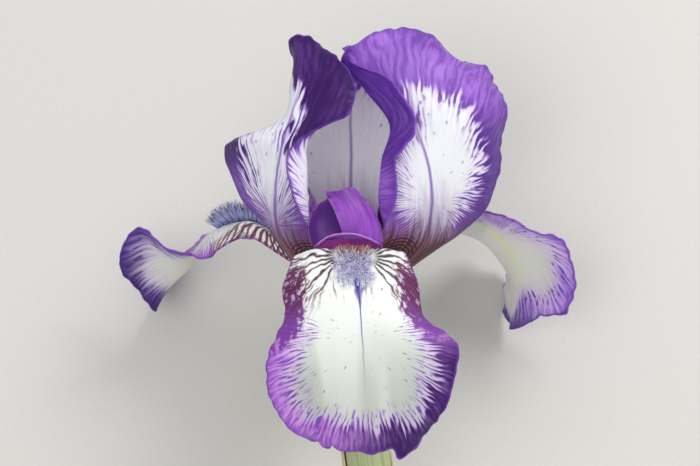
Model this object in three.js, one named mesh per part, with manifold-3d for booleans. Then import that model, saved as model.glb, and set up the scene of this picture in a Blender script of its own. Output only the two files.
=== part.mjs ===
// A bearded iris flower with a short cut stem, laid on its back on a table.
// Millimetres. In the flower's own frame +Y runs up the flower's axis, +X is its right and +Z
// its face; the flower group then reclines that frame onto the table, with +Z up.
import * as THREE from 'three';
import { mergeVertices } from 'three/addons/utils/BufferGeometryUtils.js';
import Module from 'manifold-3d';

const wasm = await Module();
wasm.setup();

// Driving dimensions, mm and degrees.
const PETAL_THICKNESS = 0.7;
const STYLE_THICKNESS = 0.8;
const BRACT_THICKNESS = 0.6;
const TOUCH_GAP = 0.3;            // kept between pieces that touch
const RECLINE = 20.25;            // the flower's axis rises this much above the table
const REST = { x: 1.2, y: 11.9, z: 40.8 };   // where the tube's rim lies over the table
const STALK_LEAN = 7;             // the tube, ovary and stem lean to the flower's right going down
const FALL_CLAW = { radius: 5, halfAngle: 23 };
const STANDARD_CLAW = { radius: 4.2, halfAngle: 20 };
const TUBE = { rim: 6.2, neck: 3.6, neckFrom: 5, length: 17 };
const OVARY = { radius: 5, from: 20, to: 40, pedicel: 3.3, end: 50 };
const STEM = { radius: 3.9, node: 4.4, end: 108 };
const BRACT = { foot: 51.5, innerRadius: 6, outerRadius: 7 };

const radians = THREE.MathUtils.degToRad;
const smooth = THREE.MathUtils.smoothstep;

// A claw's foot: seven points on the tube's rim, round the azimuth that its petal faces.
function claw(azimuth, { radius, halfAngle }, turn = 1) {
  const foot = [];
  for (let i = 0; i < 7; i++) {
    const angle = radians(azimuth + turn * halfAngle * (1 - i / 3));
    const x = radius * Math.cos(angle);
    foot.push(x, 0.1 + x * Math.tan(radians(STALK_LEAN)), -radius * Math.sin(angle));
  }
  return foot;
}

// Control nets, x,y,z by x,y,z in the flower's frame. Rows run from the claw to the tip, and each
// row runs across the petal: from its left edge on the front and back petals and the crests, and
// from the edge nearer the flower's face on the side ones.
const FALL_FRONT = [
  claw(270, FALL_CLAW, -1),
  [-7.5,12,9.5,  -5.5,10,11.5,  -3,9,12.5,  0,9,13,  3,9,12.5,  5.5,10,11.5,  7.5,12,9.5],
  [-13,19.5,18.5,  -9,20,20.5,  -4.5,18.5,21.5,  0,18,22,  4.5,18.5,21.5,  9,20,20.5,  12,20,18.5],
  [-16,20.5,26,  -10.5,22.5,28,  -5,22.5,29.5,  0.5,22,30,  5.5,22.5,29.5,  10,22.5,28.5,  14.5,21.5,26],
  [-18.5,13,31,  -12.5,16,34.5,  -6,16.5,36,  1,16,36.5,  7,16,36,  12.5,16,34.5,  17.5,14,31],
  [-19,4.5,35,  -12.5,5.5,39.5,  -5.5,6,41,  2,6,41.5,  9,5.5,41,  15,5,39,  20.5,4,35.5],
  [-23,-8,37,  -15,-6.5,41.5,  -6.5,-5.5,43.5,  3,-5,44,  12,-5,43,  21,-5,41,  29,-4.5,37],
  [-23,-17.5,36.5,  -14.5,-18,41.5,  -5.5,-18,44,  4,-18,44.5,  12.5,-18,44,  20.5,-17.5,41,  27,-17,37],
  [-16,-27,36,  -9.5,-27,40.5,  -2.5,-27,42.5,  4.5,-27.5,43,  10.5,-27.5,42.5,  16,-27,40.5,  21.5,-26,36.5],
  [-11.5,-30,36,  -7.5,-31,38,  -1.5,-32.5,39.5,  4.5,-33,40,  9.5,-32.5,40,  13.5,-33,38.5,  17.5,-31.5,37],
];
const FALL_LEFT = [
  claw(150, FALL_CLAW),
  [-12,14.5,-2,  -11.5,13,-3,  -10.5,12,-4,  -9.5,11.5,-5.5,  -8.5,12,-7,  -7.5,13,-8.5,  -7,14.5,-10],
  [-21,21.5,-3.5,  -21,24.5,-5,  -19.5,24.5,-7.5,  -18,24,-10.5,  -16.5,24.5,-14,  -15,24.5,-17,  -14,22.5,-19],
  [-29.5,26,-3.5,  -29.5,30,-6.5,  -28,30,-11,  -26.5,29.5,-15,  -25,30,-19,  -23.5,29.5,-23,  -22.5,26.5,-26],
  [-37.5,22.5,-6,  -36.5,26.5,-9.5,  -35.5,29,-14,  -35,29.5,-20,  -33,29.5,-26,  -31,28.5,-31,  -30,25.5,-34],
  [-43,20,-8,  -43,21.5,-13,  -43,23.5,-19,  -42,25.5,-26,  -41,25.5,-32,  -41,26,-37,  -43,26.5,-42],
  [-50.5,22.5,-10,  -50,20.5,-17,  -49,18.5,-24,  -47,17,-30,  -46.5,18.5,-37,  -46.5,20.5,-43.5,  -47,22,-48],
  [-60,28.5,-14,  -57,23.5,-19.5,  -54.5,17,-25,  -52.5,12,-31,  -52,12.5,-37.5,  -51.5,14.5,-44,  -51.5,17,-49],
  [-66,21,-19,  -63,16,-23,  -59.5,11,-27.5,  -55.5,7.5,-32,  -55.5,8.5,-38,  -55,11,-43.5,  -54.5,14,-48],
  [-65,15,-23,  -62,12.5,-26,  -59,8,-29,  -57,5,-32,  -56.5,7,-37,  -56,9,-41,  -55.5,12,-45],
];
const FALL_RIGHT = [
  claw(30, FALL_CLAW, -1),
  [12,14.5,-2,  11.5,13,-3,  10.5,12,-4,  9.5,11.5,-5.5,  8.5,12,-7,  7.5,13,-8.5,  7,14.5,-10],
  [21,23.5,-5,  20.5,24.5,-6.5,  19.5,24.5,-8.5,  18,24,-10.5,  16.5,23.5,-14,  15,24,-17,  14,24,-19],
  [31,31.5,-9.5,  30.5,31,-11,  29,30.5,-13.5,  27.5,29.5,-16,  26,27.5,-20,  25,28,-25,  24,29,-28],
  [38.5,33.5,-11.5,  38,32.5,-14,  37.5,31.5,-17,  36,30,-20.5,  34.5,26.5,-26,  33,27,-32,  32,29,-36],
  [46,30,-12,  45,29.5,-16,  44,28,-20,  42,25.5,-25,  39,23.5,-31,  37.5,25,-37,  36.5,27.5,-42],
  [53.5,27.5,-12,  52,26.5,-17,  49.5,23.5,-23,  46,20.5,-28,  43.5,18.5,-34,  42.5,19.5,-40,  41.5,22,-45],
  [60.5,23.5,-14,  57,21,-19,  53,18,-25,  48.5,14,-30,  46,13,-36,  45,14,-42,  44.5,16,-47],
  [63.5,14,-18,  60,12,-22,  55,9.5,-27,  49,7,-31,  46,6,-37,  45,7.5,-42,  44.5,10,-47],
  [61,4,-21,  57,3.5,-25,  53,3,-28.5,  49.5,0.5,-31.5,  45.5,-0.5,-35,  45,1.5,-40,  44,4.5,-45],
];
const STANDARD_LEFT = [
  claw(210, STANDARD_CLAW),
  [-6.5,14,8,  -7.5,14,8.5,  -9.5,13.5,8,  -11,13.5,6.5,  -12,14,4.5,  -13,14.5,2.5,  -13,15.5,1],
  [-12.5,28.5,18,  -11.5,28,16.5,  -15.5,27.5,14.5,  -20.5,27.5,11,  -22,28,7.5,  -23,28,4,  -23.5,29,0],
  [-16.5,38,21.5,  -12.5,38,18.5,  -15.5,38,16,  -21,38,13.5,  -25.5,38,9,  -29,38,3.5,  -31,37,-3],
  [-18,46.5,22.5,  -12.5,45.5,19.5,  -15,46.5,17,  -20,46.5,15,  -26,47,10.5,  -31,47,4.5,  -34.5,46.5,-3],
  [-15,53.5,22.5,  -12.5,52.5,20,  -14.5,52.5,17.5,  -19,52,16,  -25.5,53,12,  -31.5,53,5.5,  -36,52,-2],
  [-0.5,60,20.5,  -5.5,61,20,  -10.5,61,18,  -16.5,60.5,15.5,  -18,60.5,11,  -19,58.5,3,  -21.5,56,-4],
  [1,68,18.5,  -4,68.5,18,  -10,68.5,15.5,  -14.5,68,13,  -17,67.5,9,  -17,66.5,3,  -17,65.5,-3],
  [-3.5,75.5,15,  -7,75.5,14,  -11,75,11.5,  -14,75,10,  -16,74.5,7.5,  -16,73.5,3.5,  -15.5,72,-1],
  [-10,80,6.5,  -11,81.5,6,  -12.5,82.5,5,  -14,82.5,4.5,  -16,82.5,3.5,  -17.5,81,2.5,  -17.5,79,1],
];
const STANDARD_RIGHT = [
  claw(330, STANDARD_CLAW, -1),
  [6.5,14,8,  7.5,14,8.5,  9.5,13.5,8,  11,13.5,6.5,  12,14,4.5,  13,14.5,2.5,  13,15.5,1],
  [8,27,17,  9.5,27,15.5,  14,26.5,13.5,  20.5,25,9.5,  24.5,25,6,  27.5,26,2,  30,27,-2],
  [12,36,20.5,  7.5,36,17,  13.5,36.5,15,  22,36.5,12,  30,37.5,8,  35.5,36.5,3,  38.5,35.5,-3],
  [12.5,46.5,22,  8.5,47,17.5,  14,47,15.5,  20.5,47.5,14.5,  30.5,47.5,10,  38,46.5,3,  41,46,-4],
  [17.5,57,22.5,  10.5,57,18.5,  12.5,58,15.5,  17.5,57.5,15,  29,58,12,  38.5,57,5,  43,57,-3],
  [12.5,68,19.5,  3.5,67.5,14.5,  8,69,14,  16,67.5,14,  28,68.5,10.5,  37,67.5,4.5,  41.5,67,-3],
  [1,74,14,  -2.5,75,10.5,  3.5,77.5,10.5,  15,76.5,10.5,  25.5,75.5,7.5,  34,73.5,2.5,  37.5,73,-3],
  [-2.5,78,8.5,  2.5,81,8,  7,83,6.5,  15.5,85,4,  22.5,81.5,2,  28.5,76.5,0,  33.5,73.5,-4],
];
const STANDARD_BACK = [
  claw(90, STANDARD_CLAW),
  [-5.5,14.5,-8.5,  -4,14,-10,  -2,13.5,-11,  0,13.5,-11.5,  2,13.5,-11,  4,14,-10,  5.5,14.5,-8.5],
  [-9,29,-12.5,  -6.5,28,-14.5,  -3.5,27.5,-16,  0,27,-16.5,  3.5,27.5,-16,  6.5,28,-14.5,  9,29,-12.5],
  [-14,42,-12.5,  -10.5,41,-15.5,  -6,40.5,-17.5,  -0.5,40,-18.5,  5.5,40.5,-17.5,  11,41,-15.5,  15,42,-12.5],
  [-18,54,-10.5,  -13.5,54,-14,  -7,54,-16,  -0.5,54,-17,  7,54,-16,  14.5,54.5,-13.5,  21,55,-9],
  [-15,64.5,-8,  -11,66,-10,  -6,67,-12,  -0.5,67,-12.5,  6.5,67.5,-11.5,  14,68,-8.5,  20.5,67,-4.5],
  [-9.5,70.5,-4,  -7,73,-4.5,  -4,74.5,-5,  -0.5,75,-5,  4.5,75.5,-4.5,  9.5,75.5,-3,  14.5,74.5,-1.5],
];
const STYLE_STRAP = [
  [-1.5,0.5,1.5,  -1,0.5,2,  0,0.5,2.5,  1,0.5,2,  1.5,0.5,1.5],
  [-4,11,6.5,  -2,12,8,  0,12.5,8.5,  2,12,8,  4,11,6.5],
  [-7.5,19,14.5,  -4,21,16.5,  0,21.5,17,  4,21,16.5,  7.5,19,14.5],
  [-10.5,23,19.5,  -6,26,22,  -1,26.5,23,  4,25.5,22.5,  8.5,23.5,19.5],
  [-9.5,24,22.5,  -6,26.5,24.5,  -1,27,25.5,  4,26,25,  8,24,22.5],
];
const CREST_NEAR = [
  [-2,25.5,22.5,  1,25.5,23,  5,25,22.5,  8.5,24.5,19.5],
  [-4,31,23.5,  0,31.5,23.5,  4.5,31,22,  7.5,30,19],
  [-6,35.5,24,  -2,36,23,  2.5,35.5,21.5,  5,34.5,19],
  [-8,39,24.5,  -4.5,39,23,  -1,40,21,  2,38,19],
];
const CREST_FAR = [
  [0.5,25.5,20.5,  -4,25.5,21.5,  -8,25,21.5,  -11,23.5,20],
  [-0.5,30.5,20.5,  -4.5,31,21,  -9,30,21.5,  -12,28.5,20],
  [-2,34,20.5,  -5,35,20.5,  -8,34,20.5,  -11,32.5,19.5],
  [-3.5,37,19.5,  -5,37.5,19.5,  -6.5,37,19.5,  -8.5,35.5,19],
];

// Under each style arm lies a stamen: the filament's and the anther's centre lines.
const FILAMENT = [[0, 0.4, 3.6], [0, 5, 6], [0, 9, 9]];
const ANTHER = [[0, 8.3, 8.4], [0, 13, 12.6], [0, 17.5, 17.2]];

// The beard, on the fall's midline: from and to are shares of its length, halfWidth of its breadth.
const BEARD = {
  from: 0.17, to: 0.46, halfWidth: 0.13, rows: 13, columns: 5,
  pad: 0.7, hairRadius: 0.55, shortHair: 1.6, longHair: 4.5,
};

// Waves of the free edges: their height and their number along each edge.
const FLAT = { height: 0, tipHeight: 0, waves: 0, phase: 0 };
const FALL_WAVE = { height: 0.8, tipHeight: 0.7, waves: 5 };
const STANDARD_WAVE = { height: 0.9, waves: 5 };

// The net as a smooth surface: (u, v) runs from the claw to the tip and across.
function netSurface(net) {
  const columns = [];
  for (let i = 0; i < net[0].length; i += 3) {
    const points = net.map((row) => new THREE.Vector3(row[i], row[i + 1], row[i + 2]));
    columns.push(new THREE.CatmullRomCurve3(points));
  }
  return (u, v) => {
    const row = columns.map((column) => column.getPoint(u));
    return new THREE.CatmullRomCurve3(row).getPoint(v);
  };
}

// A grid of points on the surface, waved along its normals towards the free edge, with the
// normals of the waved grid.
function wavedGrid(net, along, across, wave) {
  const surface = netSurface(net);
  const flat = [];
  for (let i = 0; i <= along; i++) {
    flat.push(Array.from({ length: across + 1 }, (_, j) => surface(i / along, j / across)));
  }
  const flatNormals = gridNormals(flat);
  const points = flat.map((row, i) => row.map((point, j) => {
    const height = ruffle(i / along, 2 * j / across - 1, wave);
    return point.clone().addScaledVector(flatNormals[i][j], height);
  }));
  return { points, normals: gridNormals(points) };
}

function ruffle(u, edge, { height, tipHeight, waves, phase }) {
  const side = Math.sin(2 * Math.PI * waves * u + phase * Math.sign(edge)) * Math.abs(edge) ** 4;
  const tip = Math.sin(Math.PI * waves * 0.6 * edge + phase);
  const reach = u ** 8;
  return height * side * smooth(u, 0.3, 0.55) * (1 - reach) + tipHeight * tip * reach;
}

function gridNormals(points) {
  const last = [points.length - 1, points[0].length - 1];
  return points.map((row, i) => row.map((_, j) => {
    const along = points[Math.min(i + 1, last[0])][j].clone().sub(points[Math.max(i - 1, 0)][j]);
    const across = row[Math.min(j + 1, last[1])].clone().sub(row[Math.max(j - 1, 0)]);
    return along.cross(across).normalize();
  }));
}

// A closed sheet between two offsets of a grid, split into triangles alike on both faces.
function sheetGeometry({ points, normals }, lower, upper) {
  const rows = points.length;
  const columns = points[0].length;
  const positions = [];
  for (const offset of [lower, upper]) {
    points.forEach((row, i) => row.forEach((point, j) => {
      const height = typeof offset === 'function' ? offset(i / (rows - 1), j / (columns - 1)) : offset;
      positions.push(...point.clone().addScaledVector(normals[i][j], height).toArray());
    }));
  }
  const index = [];
  const half = rows * columns;
  const quad = (a, b, c, d) => index.push(a, b, c, a, c, d);
  for (let i = 0; i < rows - 1; i++) {
    for (let j = 0; j < columns - 1; j++) {
      const a = i * columns + j;
      const c = a + columns + 1;
      index.push(half + a, half + c - 1, half + c, half + a, half + c, half + a + 1);
      index.push(a, c, c - 1, a, a + 1, c);
    }
  }
  for (let i = 0; i < rows - 1; i++) {
    const left = i * columns;
    const right = left + columns - 1;
    quad(left, left + columns, half + left + columns, half + left);
    quad(right, half + right, half + right + columns, right + columns);
  }
  for (let j = 0; j < columns - 1; j++) {
    const foot = j;
    const tip = (rows - 1) * columns + j;
    quad(foot, half + foot, half + foot + 1, foot + 1);
    quad(tip, tip + 1, half + tip + 1, half + tip);
  }
  const geometry = new THREE.BufferGeometry();
  geometry.setAttribute('position', new THREE.Float32BufferAttribute(positions, 3));
  geometry.setIndex(index);
  return geometry;
}

function bladeGeometry(net, along, across, thickness, wave = FLAT) {
  const grid = wavedGrid(net, along, across, wave);
  return sheetGeometry(grid, -thickness / 2, thickness / 2);
}

function solid(geometry) {
  const bare = geometry.clone();
  bare.deleteAttribute('normal');
  bare.deleteAttribute('uv');
  const merged = mergeVertices(bare, 1e-4);
  const vertProperties = new Float32Array(merged.attributes.position.array);
  const triVerts = new Uint32Array(merged.index.array);
  return new wasm.Manifold(new wasm.Mesh({ numProp: 3, vertProperties, triVerts }));
}

function joined(geometries) {
  const { vertProperties, triVerts } = geometries.map(solid).reduce((a, b) => a.add(b)).getMesh();
  const geometry = new THREE.BufferGeometry();
  geometry.setAttribute('position', new THREE.BufferAttribute(new Float32Array(vertProperties), 3));
  geometry.setIndex(new THREE.BufferAttribute(new Uint32Array(triVerts), 1));
  return geometry;
}

// The beard: a soft pad along the fall's midline, above its face, with rows of hairs that stand
// taller and lean further towards the petal's blade at the beard's outer end.
function beardGeometry(net, side) {
  const surface = netSurface(net);
  const { from, to, halfWidth, rows, columns } = BEARD;
  const pads = [];
  for (let i = 0; i <= rows; i++) {
    const u = from + (to - from) * i / rows;
    const narrow = halfWidth * (0.55 + 0.45 * Math.sin(Math.PI * i / rows));
    pads.push([]);
    for (let j = 0; j <= columns; j++) pads[i].push(surface(u, 0.5 + narrow * (2 * j / columns - 1)));
  }
  const grid = { points: pads, normals: gridNormals(pads) };
  const low = side * (PETAL_THICKNESS / 2 + TOUCH_GAP);
  const high = low + side * BEARD.pad;
  const pieces = [sheetGeometry(grid, Math.min(low, high), Math.max(low, high))];
  const up = new THREE.Vector3(0, 1, 0);
  for (let i = 1; i < rows; i++) {
    for (let j = 0; j < columns; j++) {
      const reach = i / rows;
      const length = BEARD.shortHair + (BEARD.longHair - BEARD.shortHair) * reach;
      const spread = (2 * (j + 0.5) / columns - 1);
      const foot = pads[i][j].clone().lerp(pads[i][j + 1], 0.5);
      const outward = grid.normals[i][j].clone().multiplyScalar(side);
      const onward = pads[i + 1][j].clone().sub(pads[i - 1][j]).normalize();
      const sideways = pads[i][columns].clone().sub(pads[i][0]).normalize();
      const lean = outward.clone().addScaledVector(onward, 0.5 * reach).addScaledVector(sideways, 0.6 * spread);
      const hair = new THREE.ConeGeometry(BEARD.hairRadius, length, 4, 1);
      hair.translate(0, length / 2, 0);
      hair.applyQuaternion(new THREE.Quaternion().setFromUnitVectors(up, lean.normalize()));
      foot.addScaledVector(outward, Math.abs(low) + BEARD.pad * 0.5);
      hair.translate(foot.x, foot.y, foot.z);
      pieces.push(hair);
    }
  }
  return joined(pieces);
}

// Turned pieces of the stalk, down its own axis. A profile is [radius, depth below the rim].
function turnedGeometry(profile, sides) {
  const points = profile.map(([radius, depth]) => new THREE.Vector2(radius, -depth)).reverse();
  return new THREE.LatheGeometry(points, sides);
}

// A sheathing bract: an upright channel round the ovary that narrows to a pointed tip.
function bractNet(facing, radius, length, wrap) {
  return [0, 0.12, 0.3, 0.5, 0.7, 0.86, 1].map((t) => {
    const swell = radius - 1 + smooth(t, 0, 0.3) - 1.6 * smooth(t, 0.6, 1);
    const halfAngle = wrap * (1 - t ** 4) + 14;
    const row = [];
    for (let i = 0; i < 7; i++) {
      const edge = i / 3 - 1;
      const angle = radians(facing + halfAngle * edge);
      const height = length * t * (1 - 0.08 * edge * edge) - BRACT.foot;
      row.push(swell * Math.cos(angle), height, swell * Math.sin(angle));
    }
    return row;
  });
}

function rodGeometry(points, radius, steps) {
  const section = new THREE.Shape();
  for (let i = 0; i < 8; i++) {
    const angle = i * Math.PI / 4;
    const corner = [radius * Math.cos(angle), radius * Math.sin(angle)];
    if (i === 0) section.moveTo(...corner);
    else section.lineTo(...corner);
  }
  section.closePath();
  const path = new THREE.CatmullRomCurve3(points.map((point) => new THREE.Vector3(...point)));
  return new THREE.ExtrudeGeometry(section, { steps, bevelEnabled: false, extrudePath: path });
}

function piece(name, geometry, color, roughness) {
  const material = new THREE.MeshStandardMaterial({ color, roughness, metalness: 0 });
  const mesh = new THREE.Mesh(geometry, material);
  mesh.name = name;
  return mesh;
}

const flower = new THREE.Group();
flower.rotation.x = radians(RECLINE);
flower.position.set(REST.x, REST.y, REST.z);

const FALLS = [
  { place: 'front', net: FALL_FRONT, side: 1, phase: 0.4 },
  { place: 'left', net: FALL_LEFT, side: -1, phase: 1.6 },
  { place: 'right', net: FALL_RIGHT, side: 1, phase: 2.9 },
];
for (const { place, net, side, phase } of FALLS) {
  const wave = { ...FALL_WAVE, phase };
  flower.add(piece(`fall_${place}`, bladeGeometry(net, 20, 14, PETAL_THICKNESS, wave), '#efeef4', 0.55));
  flower.add(piece(`beard_${place}`, beardGeometry(net, side), '#b9b2da', 0.9));
}

const STANDARDS = [
  { place: 'left', net: STANDARD_LEFT, phase: 0.2, tipHeight: 0.1 },
  { place: 'right', net: STANDARD_RIGHT, phase: 1.9, tipHeight: 0.9 },
  { place: 'back', net: STANDARD_BACK, phase: 3.4, tipHeight: 0.6 },
];
for (const { place, net, phase, tipHeight } of STANDARDS) {
  const wave = { ...STANDARD_WAVE, phase, tipHeight };
  flower.add(piece(`standard_${place}`, bladeGeometry(net, 20, 14, PETAL_THICKNESS, wave), '#8a5fc4', 0.5));
}

// One style arm arches over each fall, with a stamen lying under it. The side pairs are a little
// smaller, and are turned about an axis that leans to the flower's face.
const ARMS = [
  { place: 'front', turn: 0, scale: 1 },
  { place: 'left', turn: -118, scale: 0.92 },
  { place: 'right', turn: 118, scale: 0.92 },
];
const armAxis = new THREE.Vector3(0, Math.cos(radians(11)), Math.sin(radians(11)));
for (const { place, turn, scale } of ARMS) {
  const arm = joined([
    bladeGeometry(STYLE_STRAP, 10, 8, STYLE_THICKNESS),
    bladeGeometry(CREST_NEAR, 6, 6, STYLE_THICKNESS),
    bladeGeometry(CREST_FAR, 6, 6, STYLE_THICKNESS),
  ]);
  const stamen = joined([
    rodGeometry(FILAMENT, 0.5, 8),
    rodGeometry(ANTHER, 0.9, 5),
  ]);
  const pair = new THREE.Group();
  pair.add(piece(`style_arm_${place}`, arm, '#6a33a6', 0.5));
  pair.add(piece(`stamen_${place}`, stamen, '#efe6c4', 0.7));
  pair.setRotationFromAxisAngle(armAxis, radians(turn));
  pair.scale.setScalar(scale);
  flower.add(pair);
}

const stalk = new THREE.Group();
stalk.rotation.z = radians(STALK_LEAN);
stalk.add(piece('ovary_and_tube', turnedGeometry([
  [0, 0.2], [TUBE.rim, 0.2], [TUBE.rim - 0.5, 1.5], [TUBE.neck, TUBE.neckFrom],
  [TUBE.neck, TUBE.length], [OVARY.radius - 0.5, OVARY.from + 1.5], [OVARY.radius, OVARY.from + 6],
  [OVARY.radius, OVARY.to - 5], [OVARY.radius - 0.8, OVARY.to], [OVARY.pedicel, OVARY.to + 4],
  [OVARY.pedicel, OVARY.end - TOUCH_GAP], [0, OVARY.end - TOUCH_GAP],
], 18), '#8fae5c', 0.5));
stalk.add(piece('stem', turnedGeometry([
  [0, OVARY.end], [STEM.node - 0.5, OVARY.end], [STEM.node, OVARY.end + 1.5],
  [STEM.node, OVARY.end + 3.5], [STEM.radius, OVARY.end + 7], [STEM.radius, STEM.end], [0, STEM.end],
], 18), '#7f9f55', 0.5));
stalk.add(piece('spathe_outer',
  bladeGeometry(bractNet(250, BRACT.outerRadius, 38, 80), 14, 12, BRACT_THICKNESS), '#9fb877', 0.6));
stalk.add(piece('spathe_inner',
  bladeGeometry(bractNet(70, BRACT.innerRadius, 43, 80), 14, 12, BRACT_THICKNESS), '#a9bd80', 0.6));
flower.add(stalk);

const iris = new THREE.Group();
iris.add(flower);

export default iris;
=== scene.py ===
"""A bearded iris flower with a short cut stem, laid on its back on a pale table.

The flower is shaped in its own frame, in millimetres: +Y runs up its axis, +X is its right and +Z
its face. Every petal is a control net drawn smooth, waved towards its free edge and given its
thickness. The whole flower then reclines onto the table.
"""
import math
import random
from functools import partial

import bmesh
import bpy
import numpy as np
from mathutils import Matrix, Vector


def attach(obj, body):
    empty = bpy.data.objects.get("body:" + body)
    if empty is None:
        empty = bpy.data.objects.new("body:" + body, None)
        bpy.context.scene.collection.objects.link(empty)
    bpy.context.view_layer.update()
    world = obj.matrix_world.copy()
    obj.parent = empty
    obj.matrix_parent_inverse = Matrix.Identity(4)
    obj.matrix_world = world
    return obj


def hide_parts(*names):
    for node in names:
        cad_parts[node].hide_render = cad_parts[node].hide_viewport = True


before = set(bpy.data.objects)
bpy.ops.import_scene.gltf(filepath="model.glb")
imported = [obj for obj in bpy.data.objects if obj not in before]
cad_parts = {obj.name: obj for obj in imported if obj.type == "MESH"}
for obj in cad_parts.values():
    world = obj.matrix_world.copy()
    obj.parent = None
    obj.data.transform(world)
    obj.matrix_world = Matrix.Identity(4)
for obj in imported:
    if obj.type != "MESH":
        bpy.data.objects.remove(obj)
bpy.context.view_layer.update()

# Sizes in millimetres and degrees: the solids' own, but for the sheets, which are thinner here.
MM = 0.001
RECLINE = 20.25                 # the flower's axis rises this much above the table
REST = (1.2, 11.9, 40.8)        # where the tube's rim lies over the table
STALK_LEAN = 7                  # the tube, ovary and stem lean to the flower's right going down
FALL_CLAW = (5, 23)             # radius on the tube's rim, and half of the angle it takes up
STANDARD_CLAW = (4.2, 20)
CLAW_LIFT = 0.1                 # claws start this far above the rim's plane
SHEET = 0.5                     # petals, crests and spathes; real ones are about half as thick
EDGES = [i / 3 - 1 for i in range(7)]       # seven columns of a net, edge to edge

FLOWER = Matrix.Translation(Vector(REST) * MM) @ Matrix.Rotation(math.radians(RECLINE), 4, "X")
STALK = FLOWER @ Matrix.Rotation(math.radians(STALK_LEAN), 4, "Z")


def claw(azimuth, foot, turn=1):
    """A net's first row: points on the tube's rim, round the azimuth that the petal faces.

    turn is -1 where the row runs round the flower the other way.
    """
    radius, half_angle = foot
    row = []
    for edge in EDGES:
        angle = math.radians(azimuth - turn * half_angle * edge)
        x = radius * math.cos(angle)
        row += [x, CLAW_LIFT + x * math.tan(math.radians(STALK_LEAN)), -radius * math.sin(angle)]
    return row


# Control nets, x,y,z by x,y,z in the flower's frame. Rows run from the claw to the tip, and each
# row runs across the petal: from its left edge on the front and back petals and the crests, and
# from the edge nearer the flower's face on the side ones.
FALL_FRONT = [
    claw(270, FALL_CLAW, -1),
    [-7.5,12,9.5, -5.5,10,11.5, -3,9,12.5, 0,9,13, 3,9,12.5, 5.5,10,11.5, 7.5,12,9.5],
    [-13,19.5,18.5, -9,20,20.5, -4.5,18.5,21.5, 0,18,22, 4.5,18.5,21.5, 9,20,20.5, 12,20,18.5],
    [-16,20.5,26, -10.5,22.5,28, -5,22.5,29.5, 0.5,22,30, 5.5,22.5,29.5, 10,22.5,28.5, 14.5,21.5,26],
    [-18.5,13,31, -12.5,16,34.5, -6,16.5,36, 1,16,36.5, 7,16,36, 12.5,16,34.5, 17.5,14,31],
    [-19,4.5,35, -12.5,5.5,39.5, -5.5,6,41, 2,6,41.5, 9,5.5,41, 15,5,39, 20.5,4,35.5],
    [-23,-8,37, -15,-6.5,41.5, -6.5,-5.5,43.5, 3,-5,44, 12,-5,43, 21,-5,41, 29,-4.5,37],
    [-23,-17.5,36.5, -14.5,-18,41.5, -5.5,-18,44, 4,-18,44.5, 12.5,-18,44, 20.5,-17.5,41, 27,-17,37],
    [-16,-27,36, -9.5,-27,40.5, -2.5,-27,42.5, 4.5,-27.5,43, 10.5,-27.5,42.5, 16,-27,40.5, 21.5,-26,36.5],
    [-11.5,-30,36, -7.5,-31,38, -1.5,-32.5,39.5, 4.5,-33,40, 9.5,-32.5,40, 13.5,-33,38.5, 17.5,-31.5,37],
]
FALL_LEFT = [
    claw(150, FALL_CLAW),
    [-12,14.5,-2, -11.5,13,-3, -10.5,12,-4, -9.5,11.5,-5.5, -8.5,12,-7, -7.5,13,-8.5, -7,14.5,-10],
    [-21,21.5,-3.5, -21,24.5,-5, -19.5,24.5,-7.5, -18,24,-10.5, -16.5,24.5,-14, -15,24.5,-17, -14,22.5,-19],
    [-29.5,26,-3.5, -29.5,30,-6.5, -28,30,-11, -26.5,29.5,-15, -25,30,-19, -23.5,29.5,-23, -22.5,26.5,-26],
    [-37.5,22.5,-6, -36.5,26.5,-9.5, -35.5,29,-14, -35,29.5,-20, -33,29.5,-26, -31,28.5,-31, -30,25.5,-34],
    [-43,20,-8, -43,21.5,-13, -43,23.5,-19, -42,25.5,-26, -41,25.5,-32, -41,26,-37, -43,26.5,-42],
    [-50.5,22.5,-10, -50,20.5,-17, -49,18.5,-24, -47,17,-30, -46.5,18.5,-37, -46.5,20.5,-43.5, -47,22,-48],
    [-60,28.5,-14, -57,23.5,-19.5, -54.5,17,-25, -52.5,12,-31, -52,12.5,-37.5, -51.5,14.5,-44, -51.5,17,-49],
    [-66,21,-19, -63,16,-23, -59.5,11,-27.5, -55.5,7.5,-32, -55.5,8.5,-38, -55,11,-43.5, -54.5,14,-48],
    [-65,15,-23, -62,12.5,-26, -59,8,-29, -57,5,-32, -56.5,7,-37, -56,9,-41, -55.5,12,-45],
]
FALL_RIGHT = [
    claw(30, FALL_CLAW, -1),
    [12,14.5,-2, 11.5,13,-3, 10.5,12,-4, 9.5,11.5,-5.5, 8.5,12,-7, 7.5,13,-8.5, 7,14.5,-10],
    [21,23.5,-5, 20.5,24.5,-6.5, 19.5,24.5,-8.5, 18,24,-10.5, 16.5,23.5,-14, 15,24,-17, 14,24,-19],
    [31,31.5,-9.5, 30.5,31,-11, 29,30.5,-13.5, 27.5,29.5,-16, 26,27.5,-20, 25,28,-25, 24,29,-28],
    [38.5,33.5,-11.5, 38,32.5,-14, 37.5,31.5,-17, 36,30,-20.5, 34.5,26.5,-26, 33,27,-32, 32,29,-36],
    [46,30,-12, 45,29.5,-16, 44,28,-20, 42,25.5,-25, 39,23.5,-31, 37.5,25,-37, 36.5,27.5,-42],
    [53.5,27.5,-12, 52,26.5,-17, 49.5,23.5,-23, 46,20.5,-28, 43.5,18.5,-34, 42.5,19.5,-40, 41.5,22,-45],
    [60.5,23.5,-14, 57,21,-19, 53,18,-25, 48.5,14,-30, 46,13,-36, 45,14,-42, 44.5,16,-47],
    [63.5,14,-18, 60,12,-22, 55,9.5,-27, 49,7,-31, 46,6,-37, 45,7.5,-42, 44.5,10,-47],
    [61,4,-21, 57,3.5,-25, 53,3,-28.5, 49.5,0.5,-31.5, 45.5,-0.5,-35, 45,1.5,-40, 44,4.5,-45],
]
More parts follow.
